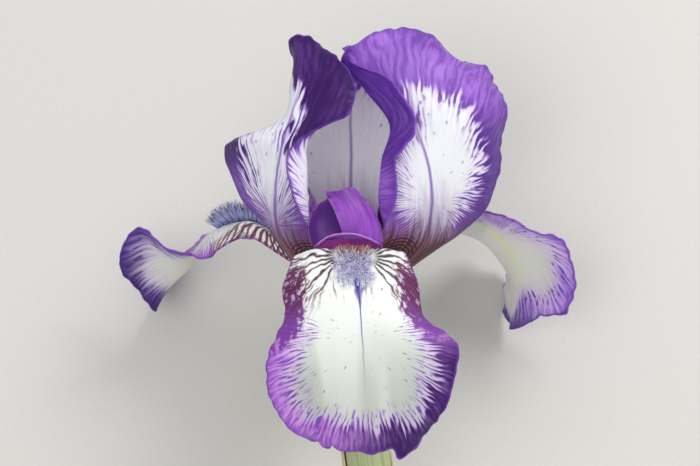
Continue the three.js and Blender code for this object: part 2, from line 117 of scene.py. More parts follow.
STANDARD_LEFT = [
    claw(210, STANDARD_CLAW),
    [-6.5,14,8, -7.5,14,8.5, -9.5,13.5,8, -11,13.5,6.5, -12,14,4.5, -13,14.5,2.5, -13,15.5,1],
    [-12.5,28.5,18, -11.5,28,16.5, -15.5,27.5,14.5, -20.5,27.5,11, -22,28,7.5, -23,28,4, -23.5,29,0],
    [-16.5,38,21.5, -12.5,38,18.5, -15.5,38,16, -21,38,13.5, -25.5,38,9, -29,38,3.5, -31,37,-3],
    [-18,46.5,22.5, -12.5,45.5,19.5, -15,46.5,17, -20,46.5,15, -26,47,10.5, -31,47,4.5, -34.5,46.5,-3],
    [-15,53.5,22.5, -12.5,52.5,20, -14.5,52.5,17.5, -19,52,16, -25.5,53,12, -31.5,53,5.5, -36,52,-2],
    [-0.5,60,20.5, -5.5,61,20, -10.5,61,18, -16.5,60.5,15.5, -18,60.5,11, -19,58.5,3, -21.5,56,-4],
    [1,68,18.5, -4,68.5,18, -10,68.5,15.5, -14.5,68,13, -17,67.5,9, -17,66.5,3, -17,65.5,-3],
    [-3.5,75.5,15, -7,75.5,14, -11,75,11.5, -14,75,10, -16,74.5,7.5, -16,73.5,3.5, -15.5,72,-1],
    [-10,80,6.5, -11,81.5,6, -12.5,82.5,5, -14,82.5,4.5, -16,82.5,3.5, -17.5,81,2.5, -17.5,79,1],
]
STANDARD_RIGHT = [
    claw(330, STANDARD_CLAW, -1),
    [6.5,14,8, 7.5,14,8.5, 9.5,13.5,8, 11,13.5,6.5, 12,14,4.5, 13,14.5,2.5, 13,15.5,1],
    [8,27,17, 9.5,27,15.5, 14,26.5,13.5, 20.5,25,9.5, 24.5,25,6, 27.5,26,2, 30,27,-2],
    [12,36,20.5, 7.5,36,17, 13.5,36.5,15, 22,36.5,12, 30,37.5,8, 35.5,36.5,3, 38.5,35.5,-3],
    [12.5,46.5,22, 8.5,47,17.5, 14,47,15.5, 20.5,47.5,14.5, 30.5,47.5,10, 38,46.5,3, 41,46,-4],
    [17.5,57,22.5, 10.5,57,18.5, 12.5,58,15.5, 17.5,57.5,15, 29,58,12, 38.5,57,5, 43,57,-3],
    [12.5,68,19.5, 3.5,67.5,14.5, 8,69,14, 16,67.5,14, 28,68.5,10.5, 37,67.5,4.5, 41.5,67,-3],
    [1,74,14, -2.5,75,10.5, 3.5,77.5,10.5, 15,76.5,10.5, 25.5,75.5,7.5, 34,73.5,2.5, 37.5,73,-3],
    [-2.5,78,8.5, 2.5,81,8, 7,83,6.5, 15.5,85,4, 22.5,81.5,2, 28.5,76.5,0, 33.5,73.5,-4],
]
STANDARD_BACK = [
    claw(90, STANDARD_CLAW),
    [-5.5,14.5,-8.5, -4,14,-10, -2,13.5,-11, 0,13.5,-11.5, 2,13.5,-11, 4,14,-10, 5.5,14.5,-8.5],
    [-9,29,-12.5, -6.5,28,-14.5, -3.5,27.5,-16, 0,27,-16.5, 3.5,27.5,-16, 6.5,28,-14.5, 9,29,-12.5],
    [-14,42,-12.5, -10.5,41,-15.5, -6,40.5,-17.5, -0.5,40,-18.5, 5.5,40.5,-17.5, 11,41,-15.5, 15,42,-12.5],
    [-18,54,-10.5, -13.5,54,-14, -7,54,-16, -0.5,54,-17, 7,54,-16, 14.5,54.5,-13.5, 21,55,-9],
    [-15,64.5,-8, -11,66,-10, -6,67,-12, -0.5,67,-12.5, 6.5,67.5,-11.5, 14,68,-8.5, 20.5,67,-4.5],
    [-9.5,70.5,-4, -7,73,-4.5, -4,74.5,-5, -0.5,75,-5, 4.5,75.5,-4.5, 9.5,75.5,-3, 14.5,74.5,-1.5],
]
STYLE_STRAP = [
    [-1.5,0.5,1.5, -1,0.5,2, 0,0.5,2.5, 1,0.5,2, 1.5,0.5,1.5],
    [-4,11,6.5, -2,12,8, 0,12.5,8.5, 2,12,8, 4,11,6.5],
    [-7.5,19,14.5, -4,21,16.5, 0,21.5,17, 4,21,16.5, 7.5,19,14.5],
    [-10.5,23,19.5, -6,26,22, -1,26.5,23, 4,25.5,22.5, 8.5,23.5,19.5],
    [-9.5,24,22.5, -6,26.5,24.5, -1,27,25.5, 4,26,25, 8,24,22.5],
]
CREST_NEAR = [
    [-2,25.5,22.5, 1,25.5,23, 5,25,22.5, 8.5,24.5,19.5],
    [-4,31,23.5, 0,31.5,23.5, 4.5,31,22, 7.5,30,19],
    [-6,35.5,24, -2,36,23, 2.5,35.5,21.5, 5,34.5,19],
    [-8,39,24.5, -4.5,39,23, -1,40,21, 2,38,19],
]
CREST_FAR = [
    [0.5,25.5,20.5, -4,25.5,21.5, -8,25,21.5, -11,23.5,20],
    [-0.5,30.5,20.5, -4.5,31,21, -9,30,21.5, -12,28.5,20],
    [-2,34,20.5, -5,35,20.5, -8,34,20.5, -11,32.5,19.5],
    [-3.5,37,19.5, -5,37.5,19.5, -6.5,37,19.5, -8.5,35.5,19],
]


# ---- shapes -------------------------------------------------------------------------------------

def smooth(value, low, high):
    """0 below low, 1 above high, and a soft slope between."""
    share = np.clip((value - low) / (high - low), 0, 1)
    return share * share * (3 - 2 * share)


def unit(vectors):
    """Vectors brought to a length of 1."""
    return vectors / np.linalg.norm(vectors, axis=-1, keepdims=True)


def spline(knots, steps):
    """Steps + 1 points on the smooth curve through the knots, which run down the first axis."""
    knots = np.concatenate([2 * knots[:1] - knots[1:2], knots, 2 * knots[-1:] - knots[-2:-1]])
    place = np.linspace(0, len(knots) - 3, steps + 1)
    span = np.minimum(place.astype(int), len(knots) - 4)
    share = (place - span).reshape((-1,) + (1,) * (knots.ndim - 1))
    a, b, c, d = (knots[span + i] for i in range(4))
    ab, bc, cd = (np.linalg.norm(q - p, axis=-1, keepdims=True) ** 0.5
                  for p, q in ((a, b), (b, c), (c, d)))
    leaving = c - b + bc * ((b - a) / ab - (c - a) / (ab + bc))
    arriving = c - b + bc * ((d - c) / cd - (d - b) / (bc + cd))
    bend = 3 * (c - b) - 2 * leaving - arriving
    twist = 2 * (b - c) + leaving + arriving
    return b + share * (leaving + share * (bend + share * twist))


def net_surface(net, along, across):
    """A net as a fine grid of points: along + 1 rows of across + 1 points."""
    knots = np.array(net, float).reshape(len(net), -1, 3)
    rows = spline(knots, along)
    return spline(rows.swapaxes(0, 1), across).swapaxes(0, 1)


def grid_normals(points):
    """The normals of a grid, along crossed with across."""
    return unit(np.cross(np.gradient(points, axis=0), np.gradient(points, axis=1)))


def travelled(points, axis):
    """How far each point of a grid lies from the grid's first edge, down one axis."""
    steps = np.linalg.norm(np.diff(points, axis=axis), axis=-1)
    start = np.zeros_like(np.take(steps, [0], axis=axis))
    return np.cumsum(np.concatenate([start, steps], axis=axis), axis=axis)


def grid_places(points, rounding):
    """How far each point of a grid lies across from its midline, along, and in from its free edges.

    The distance inwards is rounded where two edges are about as near.
    """
    over, down = travelled(points, 1), travelled(points, 0)
    middle = points.shape[1] // 2
    edges = np.stack([over, over[:, -1:] - over, down[-1:] - down])
    inward = np.maximum(-rounding * np.logaddexp.reduce(-edges / rounding), 0)
    return over - over[:, middle:middle + 1], down, inward


# Shares of a sheet's length between which its waves and its crimps set in.
WAVES_FROM, CRIMPS_FROM = (0.3, 0.55), (0.35, 0.6)
# How deep into it crimps, scallops, pleats and their creases reach, in millimetres.
CRIMP_REACH, SCALLOP_REACH, PLEAT_REACH, CREASE_REACH = 1.6, 2.5, 3.5, 6
MARGIN_STARTS = (0, 40, 80)     # the two sides and the tip are counted from here, so they differ


def waved(points, wave, onward):
    """A grid waved along its normals: down both sides, and across its tip, where onward is 1."""
    edge = np.linspace(-1, 1, points.shape[1])[None, :]
    sides = np.sin(2 * math.pi * wave["waves"] * onward + wave["phase"] * np.sign(edge)) * np.abs(edge) ** 4
    tip = np.sin(math.pi * wave["waves"] * 0.6 * edge + wave["phase"])
    at_tip = onward ** 8
    height = (wave["height"] * sides * smooth(onward, *WAVES_FROM) * (1 - at_tip)
              + wave["tip_height"] * tip * at_tip)
    return points + grid_normals(points) * height[..., None]


def margins_of(points):
    """The two sides and the tip: how far in each point lies, its place along, and the way in."""
    over, down = travelled(points, 1), travelled(points, 0)
    sideways, onward = (unit(np.gradient(points, axis=axis)) for axis in (1, 0))
    return ((over, down[:, :1], sideways),
            (over[:, -1:] - over, down[:, -1:], -sideways),
            (down[-1:] - down, over[-1:], -onward))


def ruffled(points, wave):
    """A grid with broad waves towards its free edge, then fine crimps, scallops and pleats on it.

    The crimps and scallops are sines of lengths that share no factor, so no stretch repeats.
    """
    onward = np.linspace(0, 1, points.shape[0])[:, None]
    points = waved(points, wave, onward)
    margins, normals = margins_of(points), grid_normals(points)
    crimp, scallop = 0, 0
    for (inward, along, retreat), start in zip(margins, MARGIN_STARTS):
        place = along + start
        ripple = np.sin(2 * math.pi * place / wave["crimp_length"] + 2.2 * np.sin(place / 6.5))
        swell = 0.6 + 0.4 * np.sin(place / 4.1 + wave["phase"])
        crimp = crimp + ripple * swell * np.exp(-inward / CRIMP_REACH)
        bay = (0.5 + 0.5 * np.sin(place / 1.3 + 3 * np.sin(place / 5.5 + wave["phase"]))) ** 2
        scallop = scallop + retreat * (bay * np.exp(-inward / SCALLOP_REACH))[..., None]
    free = smooth(onward, *CRIMPS_FROM)
    points = points + normals * (wave["crimp"] * crimp * free)[..., None]
    points = points + wave["scallop"] * scallop * free[..., None]
    for margin, place, width, push, lift in wave.get("pleats", ()):
        inward, along, retreat = margins[margin]
        apart = (along - place) / width
        fold = push * apart * np.exp(0.5 - apart * apart) * np.exp(-inward / PLEAT_REACH)
        crease = lift * np.exp(-apart * apart) * np.exp(-inward / CREASE_REACH)
        points = points + retreat * fold[..., None] + normals * crease[..., None]
    return points


def stood(point, way, sizes):
    """The matrix that stands a shape at a point, its Z turned the way, scaled by three sizes."""
    turn = Vector(way).to_track_quat("Z", "Y").to_matrix().to_4x4()
    return Matrix.Translation(Vector(point)) @ turn @ Matrix.Diagonal((*sizes, 1))


def put(mesh, place=FLOWER):
    """Bring a bmesh drawn in the flower's or the stalk's millimetres to its place, in metres."""
    bmesh.ops.transform(mesh, matrix=place @ Matrix.Scale(MM, 4), verts=mesh.verts)


def grid_sheet(points, face_side, fields):
    """A bmesh grid laid on the points, its faces turned to one side of it.

    face_side is 1 where the sheet's face is along crossed with across, and -1 where it is the other
    side. fields are named vectors that each point carries for the materials.
    """
    along, across = points.shape[0] - 1, points.shape[1] - 1
    mesh = bmesh.new()
    bmesh.ops.create_grid(mesh, x_segments=across, y_segments=along, size=0.5)
    layers = {name: mesh.verts.layers.float_vector.new(name) for name in fields}
    for vert in mesh.verts:
        cell = round((vert.co.y + 0.5) * along), round((vert.co.x + 0.5) * across)
        vert.co = points[cell]
        for name, layer in layers.items():
            vert[layer] = fields[name][cell]
    if face_side > 0:
        bmesh.ops.reverse_faces(mesh, faces=mesh.faces)
    return mesh


def mesh_data(name, mesh):
    """A bmesh as mesh data; the bmesh is freed."""
    data = bpy.data.meshes.new(name)
    mesh.to_mesh(data)
    mesh.free()
    return data


def in_scene(name, data):
    """An object with the data, linked to the scene."""
    made = bpy.data.objects.new(name, data)
    bpy.context.scene.collection.objects.link(made)
    return made


def add_piece(name, mesh, materials, node):
    """Turn a bmesh into a piece that rides on the body and stands for its CAD node."""
    data = mesh_data(name, mesh)
    for material in materials:
        data.materials.append(material)
    data.shade_smooth()
    piece = in_scene(name, data)
    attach(piece, "root")
    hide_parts(node)
    return piece


def thicken(piece):
    """Give a sheet its thickness, half to each side, with its second material on the back."""
    shell = piece.modifiers.new("thickness", "SOLIDIFY")
    shell.thickness = SHEET * MM
    shell.offset = 0
    shell.material_offset = 1
    shell.use_even_offset = False


# ---- materials ----------------------------------------------------------------------------------

def srgb(code):
    """A linear colour from an sRGB hex value."""
    parts = [int(code[i:i + 2], 16) / 255 for i in (1, 3, 5)]
    return [p / 12.92 if p <= 0.04045 else ((p + 0.055) / 1.055) ** 2.4 for p in parts] + [1]


def add_node(tree, kind, inputs=(), pick=0, **settings):
    """Add a shader node with its settings, set or link its inputs, and return the picked output.

    inputs is a list of the first inputs in order, or a dict by an input's number or name. pick is
    an output's number, or a slice for several of them.
    """
    made = tree.nodes.new("ShaderNode" + kind)
    for name, value in settings.items():
        setattr(made, name, value)
    for key, value in (inputs.items() if isinstance(inputs, dict) else enumerate(inputs)):
        if isinstance(value, bpy.types.NodeSocket):
            tree.links.new(value, made.inputs[key])
        else:
            made.inputs[key].default_value = value
    return made.outputs[pick] if len(made.outputs) else None


def new_material(name):
    """An empty material, and add_node for its tree."""
    material = bpy.data.materials.new(name)
    material.use_nodes = True
    material.node_tree.nodes.clear()
    return material, partial(add_node, material.node_tree)


# Settings of nodes.
SOFT = {"interpolation_type": "SMOOTHSTEP"}
PLUS = {"operation": "ADD"}
TIMES = {"operation": "MULTIPLY"}
TIMES_PLUS = {"operation": "MULTIPLY_ADD"}
SINE = {"operation": "SINE"}
SIZE = {"operation": "ABSOLUTE"}
COLOURS = {"pick": 2, "data_type": "RGBA"}


def overlap(node, *shares):
    """The product of shares. One that is a tuple is a soft step: what it reads, where it starts and
    where it ends. It goes from 0 to 1 there, or between the two values that may follow.
    """
    product = None
    for share in shares:
        share = node("MapRange", share, **SOFT) if isinstance(share, tuple) else share
        product = share if product is None else node("Math", [product, share], **TIMES)
    return product


def close_material(node, layers, bump=None, bump_height=0.1, **shader):
    """Lay colours over each other by their shares, and join a Principled shader to the surface.

    layers starts with the ground's colour, and (share, colour) pairs follow. bump is a height,
    0 to 1, that stands for bump_height millimetres.
    """
    ground, *layers = layers
    skin = srgb(ground)
    for share, colour in layers:
        colour = srgb(colour) if isinstance(colour, str) else colour
        skin = node("Mix", {0: overlap(node, share), 6: skin, 7: colour}, **COLOURS)
    inputs = {"Base Color": skin}
    if bump is not None:
        inputs["Normal"] = node("Bump", {"Strength": 1.0, "Distance": bump_height * MM, "Height": bump})
    inputs.update({name.replace("_", " ").title().replace("Ior", "IOR"): value
                   for name, value in shader.items()})
    node("OutputMaterial", [node("BsdfPrincipled", inputs)])


# How a petal's flesh takes the light: thin, wet cells under a satin skin.
PETAL_FLESH = {"roughness": 0.48, "subsurface_weight": 0.5, "subsurface_scale": 0.0016,
               "subsurface_radius": (1.0, 0.75, 0.9), "specular_ior_level": 0.3}


def places(node, *fields):
    """The three parts of each named field that the piece's points carry."""
    found = []
    for field in fields:
        vector = node("Attribute", pick=1, attribute_name=field)
        found += node("SeparateXYZ", [vector], pick=slice(3))
    return found


def vein_grain(node, field, width, length, offset, detail=1.0):
    """Grain that is fine across the veins and long down them, both in millimetres."""
    place = node("Attribute", pick=1, attribute_name=field)
    place = node("VectorMath", [place, (1 / width, 1 / length, 0), (offset, 2.7 * offset, 0)],
                 **TIMES_PLUS)
    return node("TexNoise", {"Vector": place, "Scale": 1.0, "Detail": detail})


# The grains of a violet margin: their widths and lengths in millimetres, a start that sets each
# apart, and its detail.
MARGIN_GRAINS = (
    (6, 18, 0.4, 1.0),          # the band swells and thins
    (2.2, 9, 5.3, 1.0),         # its veins stray
    (1.3, 14, 9.1, 2.0),        # each vein carries the violet in by its own length
    (0.5, 6, 13.7, 2.0),        # hair-fine streaks
    (1.0, 2.6, 17.9, 1.0),      # strokes break off
)
BAND_SHIFT = 7.0                # how far a grain moves the band's edge, in millimetres
DOT_CELL = (1.5, 2.6)           # one dot at most to a cell of this size


def violet_margin(node, pale, deep, rim, pitch=1.15, comb_depth=1.6, fade=1.5, halo=0.5, dots=0.3,
                  stroke_reach=4.5, widen=0.0, dusk=None, seed=0.0):
    """Colour layers of a plicata margin: violet that breaks up inward into strokes and dots.

    The comb field gives the place round the blade's heart, out from it, and how far inside the
    violet band it is; all in millimetres. A deeper violet may be given: its colour, and the soft
    steps of the places across and along; on some petals it is painted shade. Returns the layers and
    the veins' height.
    """
    across, along, inward, round_heart, outward, depth = places(node, "blade", "comb")
    swell, wander, teeth, hairs, breaks = (
        vein_grain(node, "comb", width, length, seed + start, detail)
        for width, length, start, detail in MARGIN_GRAINS)
    turns = node("Math", [wander, 16.0, seed], **TIMES_PLUS)
    wave = node("Math", [round_heart, 2 * math.pi / pitch, turns], **TIMES_PLUS)
    vein = node("Math", [node("Math", [wave], **SINE), 0.24, hairs], **TIMES_PLUS)
    vein = overlap(node, (vein, 0.2, 0.82))

    # Each grain lies round 0.5, so the band's edge is moved back by half of what they add.
    uneven = node("Math", [swell, BAND_SHIFT, depth], **TIMES_PLUS)
    uneven = node("Math", [teeth, BAND_SHIFT, uneven], **TIMES_PLUS)
    combed = node("Math", [vein, 2 * comb_depth, uneven], **TIMES_PLUS)
    edge = BAND_SHIFT - widen
    combed_edge = edge + comb_depth
    wash = overlap(node, (combed, combed_edge - fade, combed_edge + fade))
    bloom = combed, combed_edge - fade - 4.5, combed_edge + 0.5, 0.0, halo
    stroke = overlap(node, (vein, 0.5, 0.85, 0.0, 0.85), (breaks, 0.4, 0.54), (depth, 1, 6, 1.0, 0.3),
                     (uneven, edge - stroke_reach, edge - 0.35 * stroke_reach))

    tone = -0.42
    for grain, strength in ((swell, 0.9), (hairs, 0.55), (vein, 0.22)):
        tone = node("Math", [grain, strength, tone], **TIMES_PLUS)
    tone = node("Math", [tone, overlap(node, (inward, 0.0, 3.5, 0.25, 0.0))], **PLUS)
    violet = node("Mix", {0: overlap(node, (tone, 0.0, 0.8)), 6: srgb(pale), 7: srgb(deep)}, **COLOURS)
    layers = [(bloom, "#cfb4ea"), (wash, violet), (stroke, rim)]
    # The deeper violet: painted shade where a petal turns from the light on the front fall, the left
    # standard and the right standard's inside; elsewhere simply a darker violet.
    if dusk:
        colour, aside, onward = dusk
        dusky = overlap(node, wash, (across, *aside), (along, *onward), (tone, -0.1, 0.6, 0.7, 1.0))
        layers.append((dusky, colour))
    layers.append(((inward, 0.2, 0.9, 0.8, 0.0), rim))
    off_midline = node("Math", [across], **SIZE)
    relief = overlap(node, vein, (outward, 10, 28), (off_midline, 0.5, 4.0))
    return [(freckles(node, depth, dots), "#7a6a9c")] + layers, relief


def freckles(node, depth, dots):
    """The share of the dots sown over the white, more of them near the violet band."""
    comb = node("Attribute", pick=1, attribute_name="comb")
    cells = node("VectorMath", [comb, (1 / DOT_CELL[0], 1 / DOT_CELL[1], 0)], **TIMES)
    spot, chance = node("TexVoronoi", {"Vector": cells, "Scale": 1.0, "Randomness": 0.9}, pick=slice(2))
    near = overlap(node, (depth, -20, -1, 0.12 * dots, dots))
    sown = node("Math", [node("SeparateXYZ", [chance]), near], operation="LESS_THAN")
    return overlap(node, sown, (spot, 0.1, 0.34, 0.75, 0.0))


def midrib_line(node, start, taper, end, wide, narrow, strength=1.0):
    """The share of the line down the midline: narrowed by its taper, faded out at its end."""
    across, along, _ = places(node, "blade")
    stray = vein_grain(node, "blade", 60, 9, 3.3)
    aside = node("Math", [stray, 1.4, node("Math", [across, -0.7], **PLUS)], **TIMES_PLUS)
    half = node("MapRange", [along, start, taper, wide, narrow])
    return overlap(node, (node("Math", [aside], **SIZE), 0.0, half, 1.0, 0.0),
                   (along, start, start + 3), (along, taper, end, strength, 0.0))


HAFT_VEIN_STEP = math.radians(15.5)     # the angle between two veins of a fall's haft


def haft_veins(node, wobble, patchy):
    """The share of the veins that fan out from the beard, with forks between them further out."""
    number, out, _, _, along, _ = places(node, "haft", "blade")
    veins = 0.0
    # How many veins to a step, where they start and how wide they are.
    for count, first, width in ((1, 0.5, 0.3), (2, 10.5, 0.2)):
        bent = node("Math", [number, count, node("Math", [wobble, 1.1 * count], **TIMES)], **TIMES_PLUS)
        gap = node("Math", [node("Math", [bent], operation="FRACT"), -0.5], **PLUS)
        gap = node("Math", [node("Math", [gap], **SIZE), out], **TIMES)
        gap = node("Math", [gap, HAFT_VEIN_STEP / count, 0.25], **TIMES_PLUS)
        gap = node("Math", [patchy, -0.5, gap], **TIMES_PLUS)
        line = overlap(node, (gap, 0.4 * width, 1.7 * width, 0.95, 0.0), (out, first, first + 2.5))
        veins = node("Math", [veins, line], operation="MAXIMUM")
    return overlap(node, veins, (number, 1.3, 1.9), (along, 46, 58, 1.0, 0.0))


def shoulder_net(node, blade, patchy, zone):
    """The share of the shoulders' net: it closes up towards the margin, and stays open in patches."""
    haft = node("Attribute", pick=1, attribute_name="haft")
    bend = node("VectorMath", [node("TexNoise", {"Vector": blade, "Scale": 0.3}, pick=1), (1.6, 1.6, 0)],
                **TIMES)
    # Meshes about 3 mm long down the veins, and two or so to a step between them.
    stretched = node("VectorMath", [haft, (2.3, 0.34, 0), bend], **TIMES_PLUS)
    strand = node("TexVoronoi", {"Vector": stretched, "Scale": 1.0}, feature="DISTANCE_TO_EDGE")
    crowd = node("Math", [zone, 0.26, node("Math", [patchy, 0.8, -0.38], **TIMES_PLUS)], **TIMES_PLUS)
    crowd = node("Math", [crowd, strand], operation="SUBTRACT")
    return overlap(node, (crowd, -0.08, 0.08, 0.0, 0.92), (zone, 0.02, 0.25))


def haft_layers(node, throat_vein, shoulder_vein, violet):
    """The haft of a fall: maroon veins that fan out from the beard, and a net of them on its shoulders.

    The haft field gives the vein's number, how far out it is, and how near it is to the
    shoulders' margin, 0 to 1. The noises' scales are cells to a millimetre.
    """
    _, out, zone, across, along, _ = places(node, "haft", "blade")
    blade = node("Attribute", pick=1, attribute_name="blade")
    wobble = node("TexNoise", {"Vector": blade, "Scale": 0.2, "Detail": 1.0})
    patchy = node("TexNoise", {"Vector": blade, "Scale": 0.45, "Detail": 3.0})
    tint = zone, 0.05, 0.7, 0.0, 0.75
    net_colour, vein_colour = (
        node("Mix", {0: overlap(node, step), 6: srgb(first), 7: srgb(second)}, **COLOURS)
        for step, first, second in (((along, 46, 60), shoulder_vein, violet),
                                    ((out, 2, 13), throat_vein, shoulder_vein)))

    # Short blue-black dashes hang from the beard's end, more of them on its left.
    grain = vein_grain(node, "blade", 0.9, 5, 8.8)
    dash = overlap(node, (grain, 0.56, 0.63, 0.0, 0.75), (along, 43, 46), (along, 47, 53, 1.0, 0.0),
                   (across, -9, -6), (across, 2, 7, 1.0, 0.0))
    # Painted shade: the blade under the beard is greyed to violet-grey.
    aside = node("Math", [across], **SIZE)
    under_beard_shade = overlap(node, (aside, 2.5, 5.0, 0.6, 0.0), (along, 43, 47, 1.0, 0.0))
    return [(tint, "#b07fb6"), (shoulder_net(node, blade, patchy, zone), net_colour),
            (haft_veins(node, wobble, patchy), vein_colour), (dash, "#3d3764"), (under_beard_shade, "#9a92c8")]


STRIPE_STEP = 2.3               # between two stripes, in millimetres


def haft_stripes(node, colour):
    """Short maroon stripes that stand in from the margins of a side fall's haft."""
    _, along, inward = places(node, "blade")
    blade = node("Attribute", pick=1, attribute_name="blade")
    wobble = node("TexNoise", {"Vector": blade, "Scale": 0.3, "Detail": 1.0})
    lean = node("Math", [inward, 0.5, along], **TIMES_PLUS)
    turns = node("Math", [lean, 2 * math.pi / STRIPE_STEP], **TIMES)
    turns = node("Math", [wobble, 5.0, turns], **TIMES_PLUS)
    wave = node("Math", [turns], **SINE)
    return overlap(node, (wave, 0.0, 0.6), (along, 12, 18), (along, 52, 60, 1.0, 0.0),
                   (inward, 3.5, 6.5, 0.92, 0.0)), colour


ARCH_CENTRE = (6.5, 24)         # of the arches on a standard's claw, aside and along
ARCH_STEP = 1.05


def claw_layers(node, stain, brown, dark):
    """The foot of a standard: grey-purple streaks that turn brown, with nested dark arches."""
    across, along, _ = places(node, "blade")
    grain = vein_grain(node, "blade", 0.8, 12, 2.1, 2.0)
    aside = node("Math", [across], **SIZE)
    level = node("Math", [grain, -14.0, along], **TIMES_PLUS)
    streak = overlap(node, (level, 22, 44, 0.95, 0.0), (aside, 2, 12, 1.0, 0.2))
    foot = overlap(node, (level, 19, 31, 0.95, 0.0))
    place = node("CombineXYZ", [aside, along, 0.0])
    apart = node("VectorMath", [place, (*ARCH_CENTRE, 0)], pick=1, operation="DISTANCE")
    turns = node("Math", [apart, 2 * math.pi / ARCH_STEP, node("Math", [grain, 5.0], **TIMES)],
                 **TIMES_PLUS)
    wave = node("Math", [turns], **SINE)
    arch = overlap(node, (wave, -0.4, 0.4, 0.0, 0.9), (apart, 6.0, 8.0, 1.0, 0.0), (aside, 1.0, 2.2))
    veined = overlap(node, foot, (grain, 0.42, 0.6, 0.0, 0.75))
    return [(streak, stain), (foot, brown), ((along, 2, 20, 0.7, 0.0), "#a39a66"), (veined, dark),
            (arch, dark)]


# ---- petals -------------------------------------------------------------------------------------

FALL_WAVE = {"height": 0.8, "tip_height": 0.7, "waves": 5, "crimp": 0.3, "crimp_length": 4.2,
             "scallop": 0.45}
STANDARD_WAVE = {"height": 0.9, "waves": 5, "crimp": 0.28, "crimp_length": 3.6, "scallop": 0.5}
MESH_STEP = 0.7                 # a petal's faces are about this long
COMB_RADIUS = 20                # the turn round a petal's heart is measured on this circle
BAND_RUN = 12                   # how much narrower the violet band is before it starts
HAFT_FAN = 4                    # the haft's veins fan out from this far beside the midline
CORNER_ROUNDING = 1.5           # how softly the distance from the margin turns at a corner
# Where a fall's shoulders start and end along it, and where they fade in from its margin.
SHOULDERS = ((36, 46), (58, 66), (2, 10))
# On a petal's far side: between which places across its tip's violet recedes, and where across
# and along its band is the barer one.
LEANING, BARE_SIDE, BARE_END = (-10, 4), (2, 6), (80, 90)

# Lengths are along the petal from its claw, or across it from its midline.
# side: 1 where the petal's face is along crossed with across, else -1.
# heart: where the markings turn to face the margin.
# band: the violet band's width on the sides and at the tip. starts, tip: where it comes up to each.
# bare: how much narrower the band of the far side is. lean: how the tip's violet recedes there.
# haft: where the fan of veins opens. shoulders: how strong the net beside it is.
# pleats: on the margin counted 0, 1 or 2 for the tip, each with its place, width, push and lift.
PETALS = {
    "fall_front": {
        "net": FALL_FRONT, "side": 1, "heart": 62, "band": (7.5, 8.5), "starts": (50, 60),
        "tip": (80, 92), "haft": 38,
        "wave": {**FALL_WAVE, "phase": 0.4,
                 "pleats": ((2, 6.5, 1.6, 1.6, -1.2), (2, 25.5, 2.4, -1.9, 1.4))}},
    "fall_left": {
        "net": FALL_LEFT, "side": -1, "heart": 58, "band": (5.0, 6.5), "starts": (46, 58),
        "tip": (70, 85), "haft": 34, "shoulders": 0.1, "wave": {**FALL_WAVE, "phase": 1.6}},
    "fall_right": {
        "net": FALL_RIGHT, "side": 1, "heart": 58, "band": (6.8, 7.6), "starts": (36, 50),
        "tip": (70, 85), "haft": 34, "shoulders": 0.45, "bare": 8,
        "wave": {**FALL_WAVE, "phase": 2.9}},
    "standard_left": {
        "net": STANDARD_LEFT, "side": 1, "heart": 36, "band": (6.5, 22.0), "starts": (18, 32),
        "tip": (54, 72), "lean": 1.5, "wave": {**STANDARD_WAVE, "phase": 0.2, "tip_height": 0.1}},
    "standard_right": {
        "net": STANDARD_RIGHT, "side": -1, "heart": 42, "band": (10.0, 21.0), "starts": (19, 31),
        "tip": (52, 78), "wave": {**STANDARD_WAVE, "phase": 1.9, "tip_height": 0.9}},
    "standard_back": {
        "net": STANDARD_BACK, "side": 1, "heart": 38, "band": (3.0, 12.0), "starts": (30, 50),
        "tip": (50, 75), "wave": {**STANDARD_WAVE, "phase": 3.4, "tip_height": 0.6}},
}


def petal_fields(points, shape):
    """Where each point lies on its petal, in millimetres, for the petal's markings."""
    across, down, inward = grid_places(points, CORNER_ROUNDING)
    along = np.broadcast_to(down[:, down.shape[1] // 2][:, None], across.shape)
    from_heart = along - shape["heart"]
    side_band, tip_band = shape["band"]
    far_side = np.clip(across, *LEANING) - LEANING[0]
    tipward = smooth(along - shape.get("lean", 0) * far_side, *shape["tip"])
    band = side_band + (tip_band - side_band) * tipward - BAND_RUN * (1 - smooth(along, *shape["starts"]))
    band = band - shape.get("bare", 0) * smooth(across, *BARE_SIDE) * (1 - smooth(along, *BARE_END))
    comb = [np.arctan2(across, from_heart) * COMB_RADIUS, np.hypot(across, from_heart), band - inward]

    beside = np.abs(across) - HAFT_FAN
    below = along - shape.get("haft", 0)
    below = 0.5 * below + 0.5 * np.logaddexp(0, below)
    starts, ends, fades = SHOULDERS
    shoulder = shape.get("shoulders", 1) * smooth(along, *starts) * (1 - smooth(along, *ends))
    haft = [np.arctan2(beside, below) / HAFT_VEIN_STEP, np.hypot(beside, below),
            shoulder * (1 - smooth(inward, *fades))]
    fields = {"blade": [across, along, inward], "comb": comb, "haft": haft}
    return {name: np.stack(parts, axis=-1) for name, parts in fields.items()}


def make_petal(name, shape, face, back):
    """One petal: its net made fine and waved, then a sheet with a face and a back."""
    rough = net_surface(shape["net"], 20, 14)
    along = round(travelled(rough, 0)[-1].max() / MESH_STEP)
    across = 2 * round(travelled(rough, 1)[:, -1].max() / MESH_STEP / 2)
    points = ruffled(net_surface(shape["net"], along, across), shape["wave"])
    mesh = grid_sheet(points, shape["side"], petal_fields(points, shape))
    put(mesh)
    thicken(add_piece(f"petal_{name}", mesh, [face, back], name))
    return points
